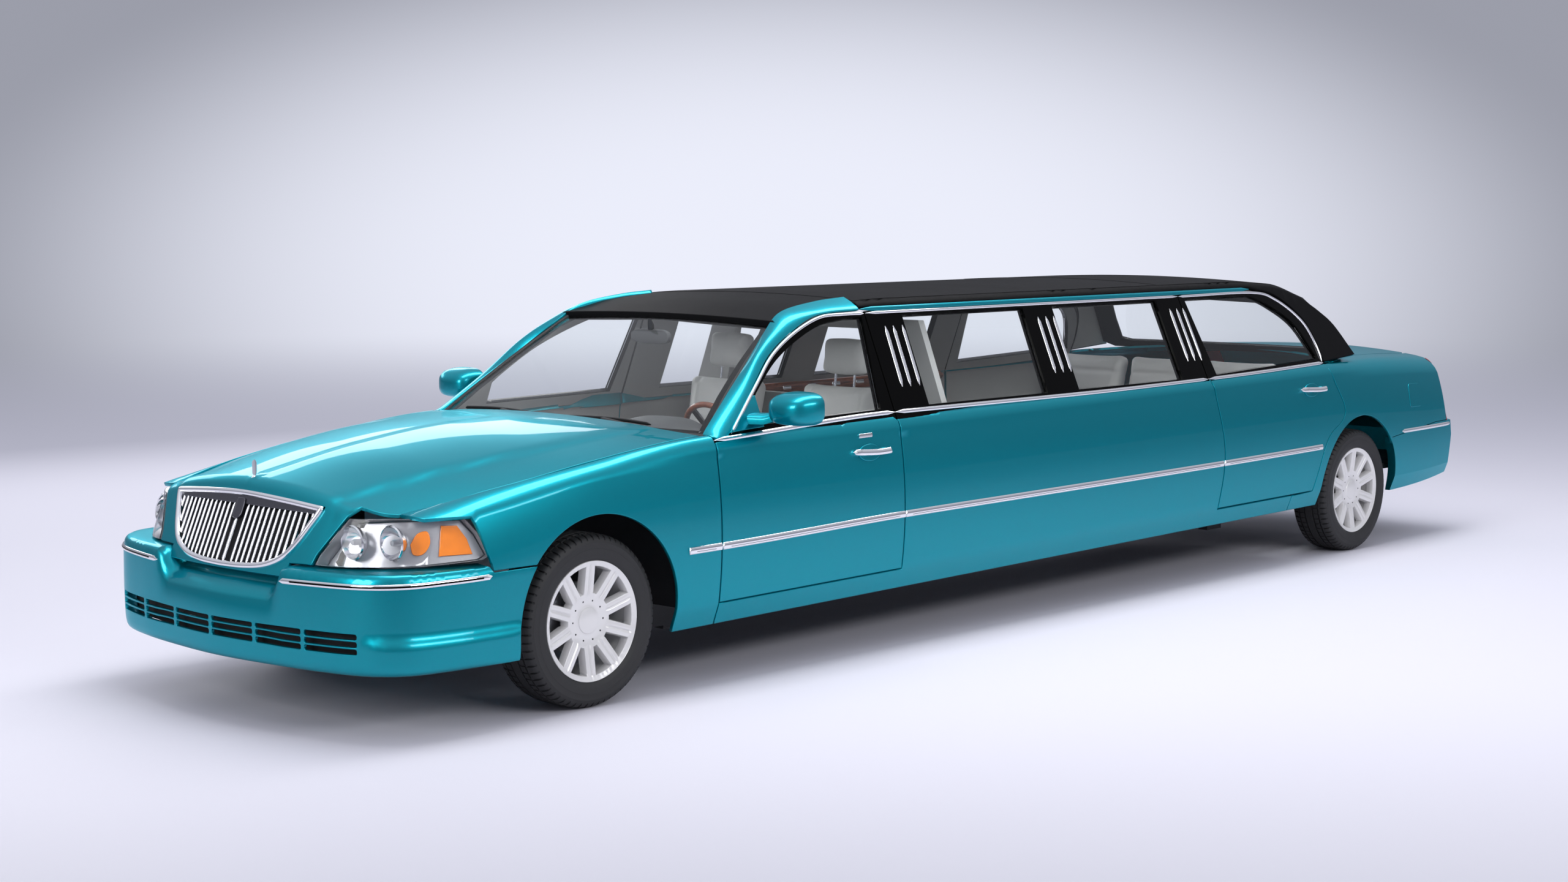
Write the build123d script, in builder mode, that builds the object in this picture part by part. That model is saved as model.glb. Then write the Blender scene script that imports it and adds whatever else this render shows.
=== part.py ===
"""Stretch limousine, built as an assembly of separate pieces, in millimetres.

Frame: +X to the nose, +Y to the car's left, +Z up. The origin is on the ground, at the middle of the
overall length and width. Left and right pieces mirror each other, apart from the steering wheel.
"""

import math
import os
from collections import namedtuple

from build123d import *

os.makedirs("parts", exist_ok=True)

# ---------------------------------------------------------------- driving dimensions
OVERALL_LENGTH = 8560
WHEELBASE = 6040
FRONT_OVERHANG = 1190
NOSE_X = OVERALL_LENGTH / 2
TAIL_X = -OVERALL_LENGTH / 2
FRONT_AXLE_X = NOSE_X - FRONT_OVERHANG
REAR_AXLE_X = FRONT_AXLE_X - WHEELBASE
FAR = 1300  # a half width beyond everything, for cutting tools

TYRE_RADIUS = 355
TYRE_WIDTH = 228
RIM_RADIUS = 246
RIM_SEAT_RADIUS = 226
TRACK_HALF = {"front": 815, "rear": 830}
ARCH_RADIUS = 437
ARCH_Z = TYRE_RADIUS + 3
KINGPIN_Y = 745

WALL = 75  # door and side wall, from outer skin to inner trim
POST = 45  # greenhouse posts, window frames and roof
PANEL = 40  # hood, trunk lid
FENDER_WALL = 50
DOOR_GAP = 6
LID_GAP = 6

# Panel joints along the side, front to rear.
SEAM_FRONT_DOOR = 2405
SEAM_STRETCH_FRONT = 1205
SEAM_STRETCH_MID = -160
SEAM_STRETCH_REAR = -1460
SEAM_REAR_DOOR_TOP = -2610
COWL_X = 2400

# Body cross-sections. Each row is one station: heights (z) and half widths (y) from sill to crown.
Section = namedtuple(
    "Section",
    "x bottom_z bottom_y sill_z sill_y side_z side_y waist_z waist_y shoulder_z shoulder_y crown_z",
)
FRONT_SECTIONS = [
    Section(4400, 230, 890, 330, 925, 600, 945, 745, 900, 800, 690, 868),
    Section(3940, 235, 900, 335, 935, 600, 958, 805, 922, 852, 745, 965),
    Section(3540, 245, 915, 340, 950, 605, 974, 865, 943, 930, 825, 1038),
    Section(3040, 250, 925, 345, 960, 612, 984, 940, 957, 1000, 885, 1090),
    Section(COWL_X, 257, 930, 350, 965, 620, 985, 968, 957, 1056, 922, 1106),
]
MID_SECTIONS = [
    Section(COWL_X, 257, 930, 350, 965, 620, 985, 968, 957, 1056, 922, 1106),
    Section(SEAM_REAR_DOOR_TOP, 308, 930, 400, 965, 680, 985, 1020, 953, 1108, 908, 1150),
]
REAR_SECTIONS = [
    Section(SEAM_REAR_DOOR_TOP, 308, 930, 400, 965, 680, 985, 1020, 953, 1108, 908, 1160),
    Section(-3210, 312, 925, 402, 958, 680, 978, 1018, 938, 1108, 850, 1158),
    Section(-3810, 330, 900, 410, 935, 680, 950, 1000, 905, 1092, 790, 1142),
    Section(-4420, 400, 850, 450, 880, 680, 895, 960, 850, 1050, 720, 1100),
]

# Greenhouse: side planes lean in by this much for each millimetre of height.
TUMBLE = 0.417
BELT_Z, BELT_Y = 1090, 915
ROOF_Z = 1600
ROOF_EDGE_Z, ROOF_EDGE_Y = 1560, 690


def tumble_y(z):
    """Half width of the greenhouse's side plane at height z."""
    return BELT_Y - TUMBLE * (z - BELT_Z)


def section_face(s, inset=0, floor_drop=0, roof_drop=0):
    """One closed cross-section, drawn on the plane x = s.x and pulled in by inset."""
    low = s.bottom_z - floor_drop
    bottom = (s.bottom_y - inset, low)
    sill = (s.sill_y - inset, s.sill_z)
    side = (s.side_y - inset, s.side_z)
    waist = (s.waist_y - inset, s.waist_z - 0.3 * inset)
    shoulder = (s.shoulder_y - inset, s.shoulder_z - roof_drop)
    middle = (
        (waist[0] + shoulder[0]) / 2 + 0.13 * (shoulder[1] - waist[1]),
        (waist[1] + shoulder[1]) / 2 + 0.13 * (waist[0] - shoulder[0]),
    )
    crown = (0, s.crown_z - roof_drop)

    def left(p):
        return (-p[0], p[1])

    with BuildSketch(Plane.YZ.offset(s.x)) as sketch:
        with BuildLine():
            Line(bottom, sill)
            ThreePointArc(sill, side, waist)
            ThreePointArc(waist, middle, shoulder)
            ThreePointArc(shoulder, crown, left(shoulder))
            ThreePointArc(left(shoulder), left(middle), left(waist))
            ThreePointArc(left(waist), left(side), left(sill))
            Line(left(sill), left(bottom))
            Line(left(bottom), bottom)
        make_face()
    return sketch.sketch


def body_loft(sections, inset=0, floor_drop=0, roof_drop=0, ruled=False):
    """The closed body form through a table of sections."""
    with BuildPart() as form:
        loft([section_face(s, inset, floor_drop, roof_drop) for s in sections], ruled=ruled)
    return form.part


def side_prism(points, y_from=0, y_to=FAR):
    """A prism seen from the side: (x, z) points, running from one y to another."""
    with BuildPart() as prism:
        with BuildSketch(Plane.XZ.offset(-y_from)):
            with BuildLine():
                Polyline(*points, close=True)
            make_face()
        extrude(amount=-(y_to - y_from))
    return prism.part


def plan_prism(points, z_from, z_to):
    """A prism seen from above: (x, y) points, running from one height to another."""
    with BuildPart() as prism:
        with BuildSketch(Plane.XY.offset(z_from)):
            with BuildLine():
                Polyline(*points, close=True)
            make_face()
        extrude(amount=z_to - z_from)
    return prism.part


def block(low, high):
    """A box between two corners."""
    size = [b - a for a, b in zip(low, high)]
    centre = [(a + b) / 2 for a, b in zip(low, high)]
    with BuildPart() as piece:
        with Locations(tuple(centre)):
            Box(*size)
    return piece.part



def grow(points, distance):
    """A closed outline moved outwards by a distance, corner by corner."""
    area = sum(a[0] * b[1] - b[0] * a[1] for a, b in zip(points, points[1:] + points[:1]))
    turn = 1 if area > 0 else -1
    moved = []
    for before, here, after in zip(points[-1:] + points[:-1], points, points[1:] + points[:1]):
        normals = []
        for a, b in ((before, here), (here, after)):
            length = math.hypot(b[0] - a[0], b[1] - a[1])
            normals.append((turn * (b[1] - a[1]) / length, -turn * (b[0] - a[0]) / length))
        (ux, uy), (vx, vy) = normals
        reach = distance / (1 + ux * vx + uy * vy)
        moved.append((here[0] + reach * (ux + vx), here[1] + reach * (uy + vy)))
    return moved


def skin_y(z):
    """Half width of the visible side at height z, near enough to place the slanted shut faces."""
    table = [(250, 930), (360, 966), (650, 985), (1000, 950), (BELT_Z, BELT_Y)]
    if z >= BELT_Z:
        return tumble_y(z)
    for (z0, y0), (z1, y1) in zip(table, table[1:]):
        if z <= z1:
            return y0 + (y1 - y0) * (max(z, z0) - z0) / (z1 - z0)
    return BELT_Y


def door_region(front_edge, rear_edge, slant, margin):
    """The space of a door: its outline, with a rear face that slants forward towards the inside."""
    slants = [0] * len(front_edge) + [slant] * len(rear_edge)
    outline = grow(front_edge + rear_edge, margin)
    faces = []
    for y in (FAR, 400):
        points = [(x + k * (skin_y(z) - y), z) for (x, z), k in zip(outline, slants)]
        with BuildSketch(Plane.XZ.offset(-y)) as sketch:
            with BuildLine():
                Polyline(*points, close=True)
            make_face()
        faces.append(sketch.sketch)
    with BuildPart() as region:
        loft(faces, ruled=True)
    return region.part


def mirrored(piece):
    """The same piece on the car's right side."""
    return mirror(piece, about=Plane.XZ)


def plan_arc(front_x, corner_x, half_width, back_x):
    """Plan outline whose front is an arc, from a corner on one side to the other."""
    with BuildSketch() as sketch:
        with BuildLine():
            ThreePointArc((corner_x, -half_width), (front_x, 0), (corner_x, half_width))
            Line((corner_x, half_width), (back_x, half_width))
            Line((back_x, half_width), (back_x, -half_width))
            Line((back_x, -half_width), (corner_x, -half_width))
        make_face()
    return sketch.sketch


# ---------------------------------------------------------------- greenhouse form
HOUSE_BASE_Z = 1040
HOUSE_FRONT = [(2620, 1300, 1340), (1815, 1469, 1515), (1446, 1540, 1582), (1000, ROOF_EDGE_Z, 1610)]
HOUSE_REAR = [(-1900, ROOF_EDGE_Z, 1610), (-2364, 1538, 1588), (-2643, 1460, 1512), (-3350, 1250, 1290)]
SCREEN_RAKE = (-621, 0, 421)
REAR_RAKE = (440, 0, 370)


def house_section(x, edge_z, crown_z, inset):
    edge_z, crown_z = edge_z - inset, crown_z - inset
    base = (tumble_y(HOUSE_BASE_Z - inset) - inset, HOUSE_BASE_Z - inset)
    edge = (tumble_y(edge_z) - inset, edge_z)
    rim = (edge[0] - 62, edge_z + 28)
    middle = ((edge[0] + rim[0]) / 2 + 6, (edge_z + rim[1]) / 2 + 8)
    with BuildSketch(Plane.YZ.offset(x)) as sketch:
        with BuildLine():
            Line(base, edge)
            ThreePointArc(edge, middle, rim)
            ThreePointArc(rim, (0, crown_z), (-rim[0], rim[1]))
            ThreePointArc((-rim[0], rim[1]), (-middle[0], middle[1]), (-edge[0], edge[1]))
            Line((-edge[0], edge[1]), (-base[0], base[1]))
            Line((-base[0], base[1]), base)
        make_face()
    return sketch.sketch


def rake_cut(outline, start_z, rake):
    """A plan outline pushed along a rake, both up and down from where it stands."""
    tall = [2.2 * r for r in rake]
    length = math.hypot(*tall)
    face = Pos(-0.25 * rake[0], 0, start_z - 0.25 * rake[2]) * outline
    return extrude(face, amount=length, dir=tuple(tall))


def house(inset=0, screen_back=0, rear_in=0):
    front = loft([house_section(*row, inset) for row in HOUSE_FRONT])
    middle = loft([house_section(*HOUSE_FRONT[-1], inset), house_section(*HOUSE_REAR[0], inset)])
    rear = loft([house_section(*row, inset) for row in HOUSE_REAR])
    behind_screen = rake_cut(plan_arc(2465 - screen_back, 2385 - screen_back, 960, -9000), 1050, SCREEN_RAKE)
    before_rear = rake_cut(plan_arc(3090 - rear_in, 2985 - rear_in, 960, -9000), 1130, (-REAR_RAKE[0], 0, REAR_RAKE[2]))
    before_rear = mirror(before_rear, about=Plane.YZ)
    return (front + middle + rear) & behind_screen & before_rear


# ---------------------------------------------------------------- outlines seen from the side or above
FRONT_DOOR_FRONT = [
    (1330, 1534), (1522, 1524), (1717, 1464), (1907, 1374), (2062, 1252), (2296, 1056),
    (SEAM_FRONT_DOOR, 1044), (SEAM_FRONT_DOOR, 351),
]
FRONT_DOOR_REAR = [(SEAM_STRETCH_FRONT, 363), (SEAM_STRETCH_FRONT, BELT_Z), (SEAM_STRETCH_FRONT, 1534)]
REAR_DOOR_FRONT = [
    (-1370, 1534), (-1400, BELT_Z), (-1424, 960), (-1474, 683), (-1440, 389),
]
REAR_DOOR_REAR = [
    (-2418, 399), (-2546, 680), (-2714, 782), (-2742, 860), (-2660, 1000), (-2612, 1114), (-2598, 1233),
    (-2530, 1363), (-2333, 1487), (-2100, 1534),
]
FRONT_WINDOW = [
    (1232, 1508), (1330, 1508), (1515, 1486), (1702, 1427), (1886, 1342), (2036, 1238), (2098, 1186), (2098, 1084), (1296, 1098),
]
STRETCH_WINDOWS = [
    [(944, 1508), (13, 1508), (25, 1099), (948, 1099)],
    [(-228, 1508), (-1152, 1508), (-1167, 1100), (-237, 1100)],
]
REAR_WINDOW = [
    (-1423, 1508), (-2070, 1508), (-2241, 1450), (-2441, 1334), (-2563, 1140), (-1495, 1106),
]

HOOD_HALF = [(2424, 893), (3270, 877), (3700, 815), (3935, 752), (3990, 640), (4005, 518), (4500, 518)]
COWL_HALF = [(2405, 893), (2436, 893)]
TRUNK_HALF = [(-3240, 735), (-3900, 690), (-4010, 640), (-4500, 600)]


def both_sides(half):
    return half + [(x, -y) for x, y in reversed(half)]


def half_widths(points):
    return [(x, y) for x, y in points]


# ---------------------------------------------------------------- body shell
front_form = body_loft(FRONT_SECTIONS)
mid_form = body_loft(MID_SECTIONS, ruled=True)
rear_form = body_loft(REAR_SECTIONS)
front_inner = body_loft(FRONT_SECTIONS, FENDER_WALL, 120, PANEL)
mid_inner = body_loft(MID_SECTIONS, WALL, 120, -100, ruled=True) & block((-2700, -FAR, 0), (2500, FAR, 1100))
rear_inner = body_loft(REAR_SECTIONS, FENDER_WALL, 120, PANEL)

# The nose in plan, for the bumper and for everything above it.
def nose_face(z, centre_x, mid_x, corner_x, mid_y=570, corner_y=930):
    with BuildSketch(Plane.XY.offset(z)) as sketch:
        with BuildLine():
            ThreePointArc((mid_x, -mid_y), (centre_x, 0), (mid_x, mid_y))
            ThreePointArc((mid_x, mid_y), (corner_x + 0.62 * (mid_x - corner_x), (mid_y + corner_y) / 2 + 22), (corner_x, corner_y))
            Line((corner_x, corner_y), (3560, 1120))
            Line((3560, 1120), (3560, -1120))
            Line((3560, -1120), (corner_x, -corner_y))
            ThreePointArc((corner_x, -corner_y), (corner_x + 0.62 * (mid_x - corner_x), -(mid_y + corner_y) / 2 - 22), (mid_x, -mid_y))
        make_face()
    return sketch.sketch


def nose_form(lower_only=False, inset=0):
    low = [nose_face(150, 4255 - inset, 4196 - inset, 4010 - inset), nose_face(420, 4280 - inset, 4222 - inset, 4050 - inset), nose_face(654, 4262 - inset, 4204 - inset, 4035 - inset)]
    high = [nose_face(654, 4205 - inset, 4150 - inset, 3960 - inset), nose_face(1150, 3993 - inset, 3938 - inset, 3738 - inset)]
    if lower_only:
        return loft(low, ruled=True)
    return loft(high, ruled=True)


def tail_face(z, centre_x, corner_x):
    with BuildSketch(Plane.XY.offset(z)) as sketch:
        with BuildLine():
            ThreePointArc((corner_x, -800), (centre_x, 0), (corner_x, 800))
            ThreePointArc((corner_x, 800), (corner_x + 70, 905), (corner_x + 210, 975))
            Line((corner_x + 210, 975), (-3400, 1120))
            Line((-3400, 1120), (-3400, -1120))
            Line((-3400, -1120), (corner_x + 210, -975))
            ThreePointArc((corner_x + 210, -975), (corner_x + 70, -905), (corner_x, -800))
        make_face()
    return sketch.sketch


def tail_form(lower_only=False, inset=0):
    low = [tail_face(250, -4225 + inset, -4175 + inset), tail_face(600, -4280 + inset, -4225 + inset), tail_face(690, -4262 + inset, -4208 + inset)]
    high = [tail_face(690, -4215 + inset, -4165 + inset), tail_face(1180, -4020 + inset, -3960 + inset)]
    return loft(low if lower_only else high, ruled=True)


BUMPER_SIDE_FRONT = [(3450, 200), (3450, 626), (3650, 626), (3664, 654), (4500, 654), (4500, 200)]
BUMPER_SIDE_REAR = [(-3310, 200), (-3310, 640), (-3400, 648), (-3900, 690), (-4500, 690), (-4500, 200)]
LAMP_SIDE = [(3656, 657), (4400, 657), (4400, 880), (4105, 845), (3722, 838)]

arches = []
for axle_x in (FRONT_AXLE_X, REAR_AXLE_X):
    with BuildPart() as arch:
        with BuildSketch(Plane.XZ.offset(-FAR)):
            with Locations((axle_x, ARCH_Z)):
                Circle(ARCH_RADIUS)
            with Locations((axle_x, ARCH_Z - 400)):
                Rectangle(2 * ARCH_RADIUS, 800)
        extrude(amount=2 * FAR)
    arches.append(arch.part)

house_out = house()
house_in = house(POST, screen_back=62, rear_in=58)

nose_keep = nose_form() + nose_form(True)
tail_keep = tail_form() + tail_form(True)
front_body = front_form & (plan_prism([(2400, -FAR), (2400, FAR), (3600, FAR), (3600, -FAR)], 100, 1400) + nose_keep)
rear_body = rear_form & (plan_prism([(-2610, -FAR), (-2610, FAR), (-3500, FAR), (-3500, -FAR)], 100, 1400) + tail_keep)
nose_hollow = nose_form(inset=70) + nose_form(True, inset=60)
tail_hollow = tail_form(inset=60) + tail_form(True, inset=60)
front_hollow = front_inner & (plan_prism([(2400, -FAR), (2400, FAR), (3600, FAR), (3600, -FAR)], 100, 1400) + nose_hollow)
rear_hollow = rear_inner & (plan_prism([(-2610, -FAR), (-2610, FAR), (-3500, FAR), (-3500, -FAR)], 100, 1400) + tail_hollow)

shell = (front_body + mid_form + rear_body + house_out) - (front_hollow + mid_inner + rear_hollow + house_in)
for arch in arches:
    shell = shell - arch


def carve(tool):
    """Take what a tool holds out of the shell, and leave the rest."""
    global shell
    piece = shell & tool
    shell = shell - tool
    return piece


def hood_tool(margin):
    points = both_sides(HOOD_HALF)
    return plan_prism(grow(points, margin), 606 - margin, 1300)


# ---- doors, cut from the shell with a gap all round
door_parts = {}
window_cuts = {
    "front": side_prism(FRONT_WINDOW, 300, FAR),
    "rear": side_prism(REAR_WINDOW, 300, FAR),
}
for name, front_edge, rear_edge, slant in (
    ("front", FRONT_DOOR_FRONT, FRONT_DOOR_REAR, 0.3),
    ("rear", REAR_DOOR_FRONT, REAR_DOOR_REAR, 0.4),
):
    inside = door_region(front_edge, rear_edge, slant, -DOOR_GAP / 2)
    opening = door_region(front_edge, rear_edge, slant, DOOR_GAP / 2)
    door_parts[name] = (shell & inside) - window_cuts[name] - block((COWL_X - 5, 0, 0), (SEAM_FRONT_DOOR + 5, 840, 1300))
    shell = shell - opening - mirrored(opening)

# ---- hood and trunk lid
with BuildPart() as cowl_zone:
    with BuildSketch(Plane.XY.offset(1000)):
        with BuildLine():
            Polyline((2436, -893), (2330, -893), (2330, 893), (2436, 893))
            ThreePointArc((2436, 893), (2514, 0), (2436, -893))
        make_face()
    extrude(amount=600)
hood_zone = hood_tool(-LID_GAP / 2) - cowl_zone.part
with BuildPart() as cowl_gap:
    with BuildSketch(Plane.XY.offset(1000)):
        with BuildLine():
            Polyline((2442, -893), (2330, -893), (2330, 893), (2442, 893))
            ThreePointArc((2442, 893), (2520, 0), (2442, -893))
        make_face()
    extrude(amount=600)
hood_shell = (shell & hood_tool(-LID_GAP / 2)) - cowl_gap.part
shell = shell - (hood_tool(LID_GAP / 2) - cowl_zone.part)

TRUNK_BASE_Z = 694


def trunk_tool(margin):
    return plan_prism(grow(both_sides(TRUNK_HALF), margin), TRUNK_BASE_Z - margin, 1300)


trunk_shell = shell & trunk_tool(-LID_GAP / 2)
shell = shell - trunk_tool(LID_GAP / 2)

# ---- front and rear bumpers, lamps
front_bumper_part = carve(side_prism(BUMPER_SIDE_FRONT, -FAR, FAR))
rear_bumper_part = carve(side_prism(BUMPER_SIDE_REAR, -FAR, FAR))
LAMP_BACK = [(4060, 300), (4040, 560), (3960, 720), (3860, 820), (3720, 880), (3500, 890), (3500, 300)]
headlamp_part = (front_body & side_prism(LAMP_SIDE, 521, FAR)) - hood_tool(LID_GAP / 2) - plan_prism(LAMP_BACK, 600, 900)
carve(side_prism(LAMP_SIDE, 518, FAR))
carve(side_prism(LAMP_SIDE, -FAR, -518))
TAIL_LAMP_SIDE = [(-3985, 1070), (-4060, 690), (-4500, 690), (-4500, 1070)]
tail_lamp_part = carve(side_prism(TAIL_LAMP_SIDE, 500, FAR))
carve(side_prism(TAIL_LAMP_SIDE, -FAR, -500))

# ---- windscreen frame: front pillars, header and cowl
SCREEN_SIDE = [(2700, 1047), (2408, 1047), (1330, 1047), (1330, 1800), (2700, 1800)]
screen_zone = side_prism(SCREEN_SIDE, -FAR, FAR) & (
    plan_prism([(1000, -FAR), (1000, FAR), (2405, FAR), (2405, -FAR)], 1000, 1800) + cowl_zone.part
)
screen_frame_part = carve(screen_zone)
SCREEN_OPENING = [(-845, 1092), (845, 1092), (640, 1455), (0, 1492), (-640, 1455)]
with BuildPart() as screen_opening:
    with BuildSketch(Plane.YZ.offset(1500)):
        with BuildLine():
            Polyline((-640, 1455), (-835, 1090), (835, 1090), (640, 1455))
            ThreePointArc((640, 1455), (0, 1492), (-640, 1455))
        make_face()
    extrude(amount=1100)
glass_band = house(0, 8, 0) - house(0, 15, 0)
windshield_part = glass_band & screen_opening.part
screen_frame_part = screen_frame_part - screen_opening.part

# ---- roof with rear pillars and rear window frame
roof_zone = side_prism([(1330, 1537), (-2100, 1537), (-2100, 1800), (1330, 1800)], -FAR, FAR) + side_prism(
    [(-2100, 1537), (-2100, 1120), (-3300, 1120), (-3300, 1800), (-2100, 1800)], -FAR, FAR
)
roof_part = carve(roof_zone)
with BuildPart() as rear_opening:
    with BuildSketch(Plane.YZ.offset(-3400)):
        with BuildLine():
            Polyline((-600, 1420), (-700, 1185), (700, 1185), (600, 1420))
            ThreePointArc((600, 1420), (0, 1455), (-600, 1420))
        make_face()
    extrude(amount=1100)
rear_glass_band = house(0, 0, 8) - house(0, 0, 15)
rear_window_part = rear_glass_band & rear_opening.part & side_prism([(-2200, 1150), (-3400, 1150), (-3400, 1600), (-2200, 1600)], -FAR, FAR)
roof_part = roof_part - rear_opening.part

# ---- what is left: fenders, side walls and rear quarters
left_half = block((-4400, 0, 0), (4400, FAR, 1900))
fender_part = shell & block((SEAM_FRONT_DOOR, 400, 0), (4400, FAR, 1400))
wall_part = shell & block((-2200, 400, 0), (SEAM_FRONT_DOOR, FAR, 1900))
quarter_part = shell & block((-4400, 400, 0), (-2200, FAR, 1900))
for window in STRETCH_WINDOWS:
    wall_part = wall_part - side_prism(window, 300, FAR)


def glass_slab(depth, thickness):
    """A flat layer lying along the leaning side plane."""
    corners = [
        (tumble_y(1000) - depth, 1000), (tumble_y(1600) - depth, 1600),
        (tumble_y(1600) - depth - thickness, 1600), (tumble_y(1000) - depth - thickness, 1000),
    ]
    with BuildPart() as slab:
        with BuildSketch(Plane.YZ.offset(-2800)):
            with BuildLine():
                Polyline(*corners, close=True)
            make_face()
        extrude(amount=5400)
    return slab.part


pane = glass_slab(12, 6)
window_parts = {
    "front": pane & side_prism(FRONT_WINDOW, 300, FAR),
    "rear": pane & side_prism(REAR_WINDOW, 300, FAR),
}
stretch_glass_parts = [pane & side_prism(w, 300, FAR) for w in STRETCH_WINDOWS]



def biggest(piece):
    """The main solid, without the crumbs that cutting leaves."""
    return max(piece.solids(), key=lambda solid: solid.volume)


def joined(*pieces):
    total = pieces[0]
    for piece in pieces[1:]:
        total = total + piece
    return total


def tube(start, end, radius, bore=0):
    """A round bar or tube between two points."""
    direction = Vector(*end) - Vector(*start)
    plane = Plane(origin=start, z_dir=direction)
    with BuildPart() as bar:
        with BuildSketch(plane):
            Circle(radius)
            if bore:
                Circle(bore, mode=Mode.SUBTRACT)
        extrude(amount=direction.length)
    return bar.part


# ---------------------------------------------------------------- underbody
with BuildPart() as floor_pan:
    with BuildSketch(Plane.XZ.offset(-870)):
        with BuildLine():
            Polyline(
                (2400, 300), (2400, 330), (-2440, 350), (-2500, 640), (-3300, 640), (-3360, 470), (-4140, 470),
                (-4140, 440), (-3338, 440), (-3278, 610), (-2520, 610), (-2465, 320), close=True,
            )
        make_face()
    extrude(amount=1740)
    for side in (-1, 1):
        with Locations((REAR_AXLE_X, side * 760, 500)):
            Box(900, 440, 700, mode=Mode.SUBTRACT)
        with Locations((-3950, side * 860, 450)):
            Box(700, 160, 200, mode=Mode.SUBTRACT)

with BuildPart() as frame:
    for side in (-1, 1):
        with BuildSketch(Plane.XZ.offset(-side * 430)):
            with BuildLine():
                Polyline(
                    (4000, 300), (3300, 300), (2500, 180), (-2400, 200), (-2700, 470), (-3140, 470), (-3320, 325),
                    (-4050, 325), (-4050, 422), (-3340, 422), (-3230, 570), (-2560, 570), (-2480, 300), (2480, 285),
                    (3280, 420), (4000, 420), (4000, 300),
                )
            make_face()
        extrude(amount=side * -60)
    for x, z in ((3950, 360), (2250, 230), (400, 240), (-1500, 245), (-3950, 385)):
        with Locations((x, 0, z)):
            Box(90, 880, 60)
    for x in (2200, -2150):
        for side in (-1, 1):
            with Locations((x, side * 460, 190)):
                Box(140, 60, 50)
    with Locations((FRONT_AXLE_X, 0, 285)):
        Box(180, 860, 60)

with BuildPart() as engine_block:
    with Locations((2980, 0, 600)):
        Box(640, 560, 520)

firewall = block((2410, -820, 332), (2430, 820, 1008))

rear_axle_parts = [
    tube((REAR_AXLE_X, -735, TYRE_RADIUS), (REAR_AXLE_X, 735, TYRE_RADIUS), 42),
    tube((REAR_AXLE_X, -60, TYRE_RADIUS), (REAR_AXLE_X, 90, TYRE_RADIUS), 115),
    tube((REAR_AXLE_X, -805, TYRE_RADIUS), (REAR_AXLE_X, 805, TYRE_RADIUS), 26),
    tube((REAR_AXLE_X + 20, 0, TYRE_RADIUS + 10), (REAR_AXLE_X + 700, 0, TYRE_RADIUS - 130), 34),
]
for side in (-1, 1):
    rear_axle_parts.append(block((REAR_AXLE_X - 120, side * 565 - 25, 335), (REAR_AXLE_X + 420, side * 565 + 25, 365)))
rear_axle_part = joined(*rear_axle_parts)

front_links = []
for side in (-1, 1):
    for z, reach in ((262, 678), (450, 678)):
        front_links.append(
            plan_prism([(3000, side * 470), (3180, side * 470), (3115, side * reach), (3065, side * reach)], z - 14, z + 14)
        )
    front_links.append(block((3050, min(side * 400, side * 480), 236), (3130, max(side * 400, side * 480), 500)))

# ---------------------------------------------------------------- wheels
def tyre_solid(y, side):
    """Tyre with its open bore, standing at y."""
    half = TYRE_WIDTH / 2
    profile = [
        (RIM_RADIUS - 8, -half + 16), (RIM_RADIUS + 50, -half), (TYRE_RADIUS - 8, -half + 22), (TYRE_RADIUS, -half + 58),
        (TYRE_RADIUS, half - 58), (TYRE_RADIUS - 8, half - 22), (RIM_RADIUS + 50, half), (RIM_RADIUS - 8, half - 16),
    ]
    with BuildPart() as tyre:
        with BuildSketch(Plane.XY):
            with BuildLine():
                Polyline(*profile, close=True)
            make_face()
        revolve(axis=Axis.Y)
    return tyre.part


def rim_solid():
    """Ten-spoke wheel, its outer face towards +Y."""
    half = TYRE_WIDTH / 2
    barrel = [
        (RIM_SEAT_RADIUS - 10, -half + 14), (RIM_RADIUS - 9, -half + 14), (RIM_RADIUS - 9, -half + 24),
        (RIM_SEAT_RADIUS + 11, -half + 42), (RIM_SEAT_RADIUS + 11, half - 42), (RIM_RADIUS - 9, half - 24),
        (RIM_RADIUS - 9, half - 12), (RIM_SEAT_RADIUS - 2, half - 12), (RIM_SEAT_RADIUS - 10, half - 30),
    ]
    hub = [(31, -10), (85, -10), (85, 25), (70, 62), (60, 74), (0.01, 78), (0.01, 60), (31, 60)]
    with BuildPart() as rim:
        with BuildSketch(Plane.XY):
            with BuildLine():
                Polyline(*barrel, close=True)
            make_face()
        revolve(axis=Axis.Y)
        with BuildSketch(Plane.XY):
            with BuildLine():
                Polyline(*hub, close=True)
            make_face()
        revolve(axis=Axis.Y)
        with BuildSketch(Plane.XY):
            with BuildLine():
                Polyline((50, 40), (50, 72), (120, 84), (RIM_SEAT_RADIUS, 96), (RIM_SEAT_RADIUS, 66), (120, 54), close=True)
            make_face()
        extrude(amount=21, both=True)
        spoke_base = rim.part
    spokes = None
    with BuildPart() as spoke:
        with BuildSketch(Plane.XY):
            with BuildLine():
                Polyline((50, 40), (50, 72), (120, 84), (RIM_SEAT_RADIUS, 96), (RIM_SEAT_RADIUS, 66), (120, 54), close=True)
            make_face()
        extrude(amount=21, both=True)
    whole = spoke_base
    for i in range(1, 10):
        whole = whole + spoke.part.rotate(Axis.Y, 36 * i)
    return whole


rim_base = rim_solid()
tyre_base = tyre_solid(0, 1)
wheel_pieces = {}
for end, axle_x in (("front", FRONT_AXLE_X), ("rear", REAR_AXLE_X)):
    place = Pos(axle_x, TRACK_HALF[end], TYRE_RADIUS)
    for side in ("left", "right"):
        for kind, base in (("tyre", tyre_base), ("wheel", rim_base)):
            piece = place * base
            wheel_pieces[kind, end, side] = piece if side == "left" else mirrored(piece)

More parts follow.
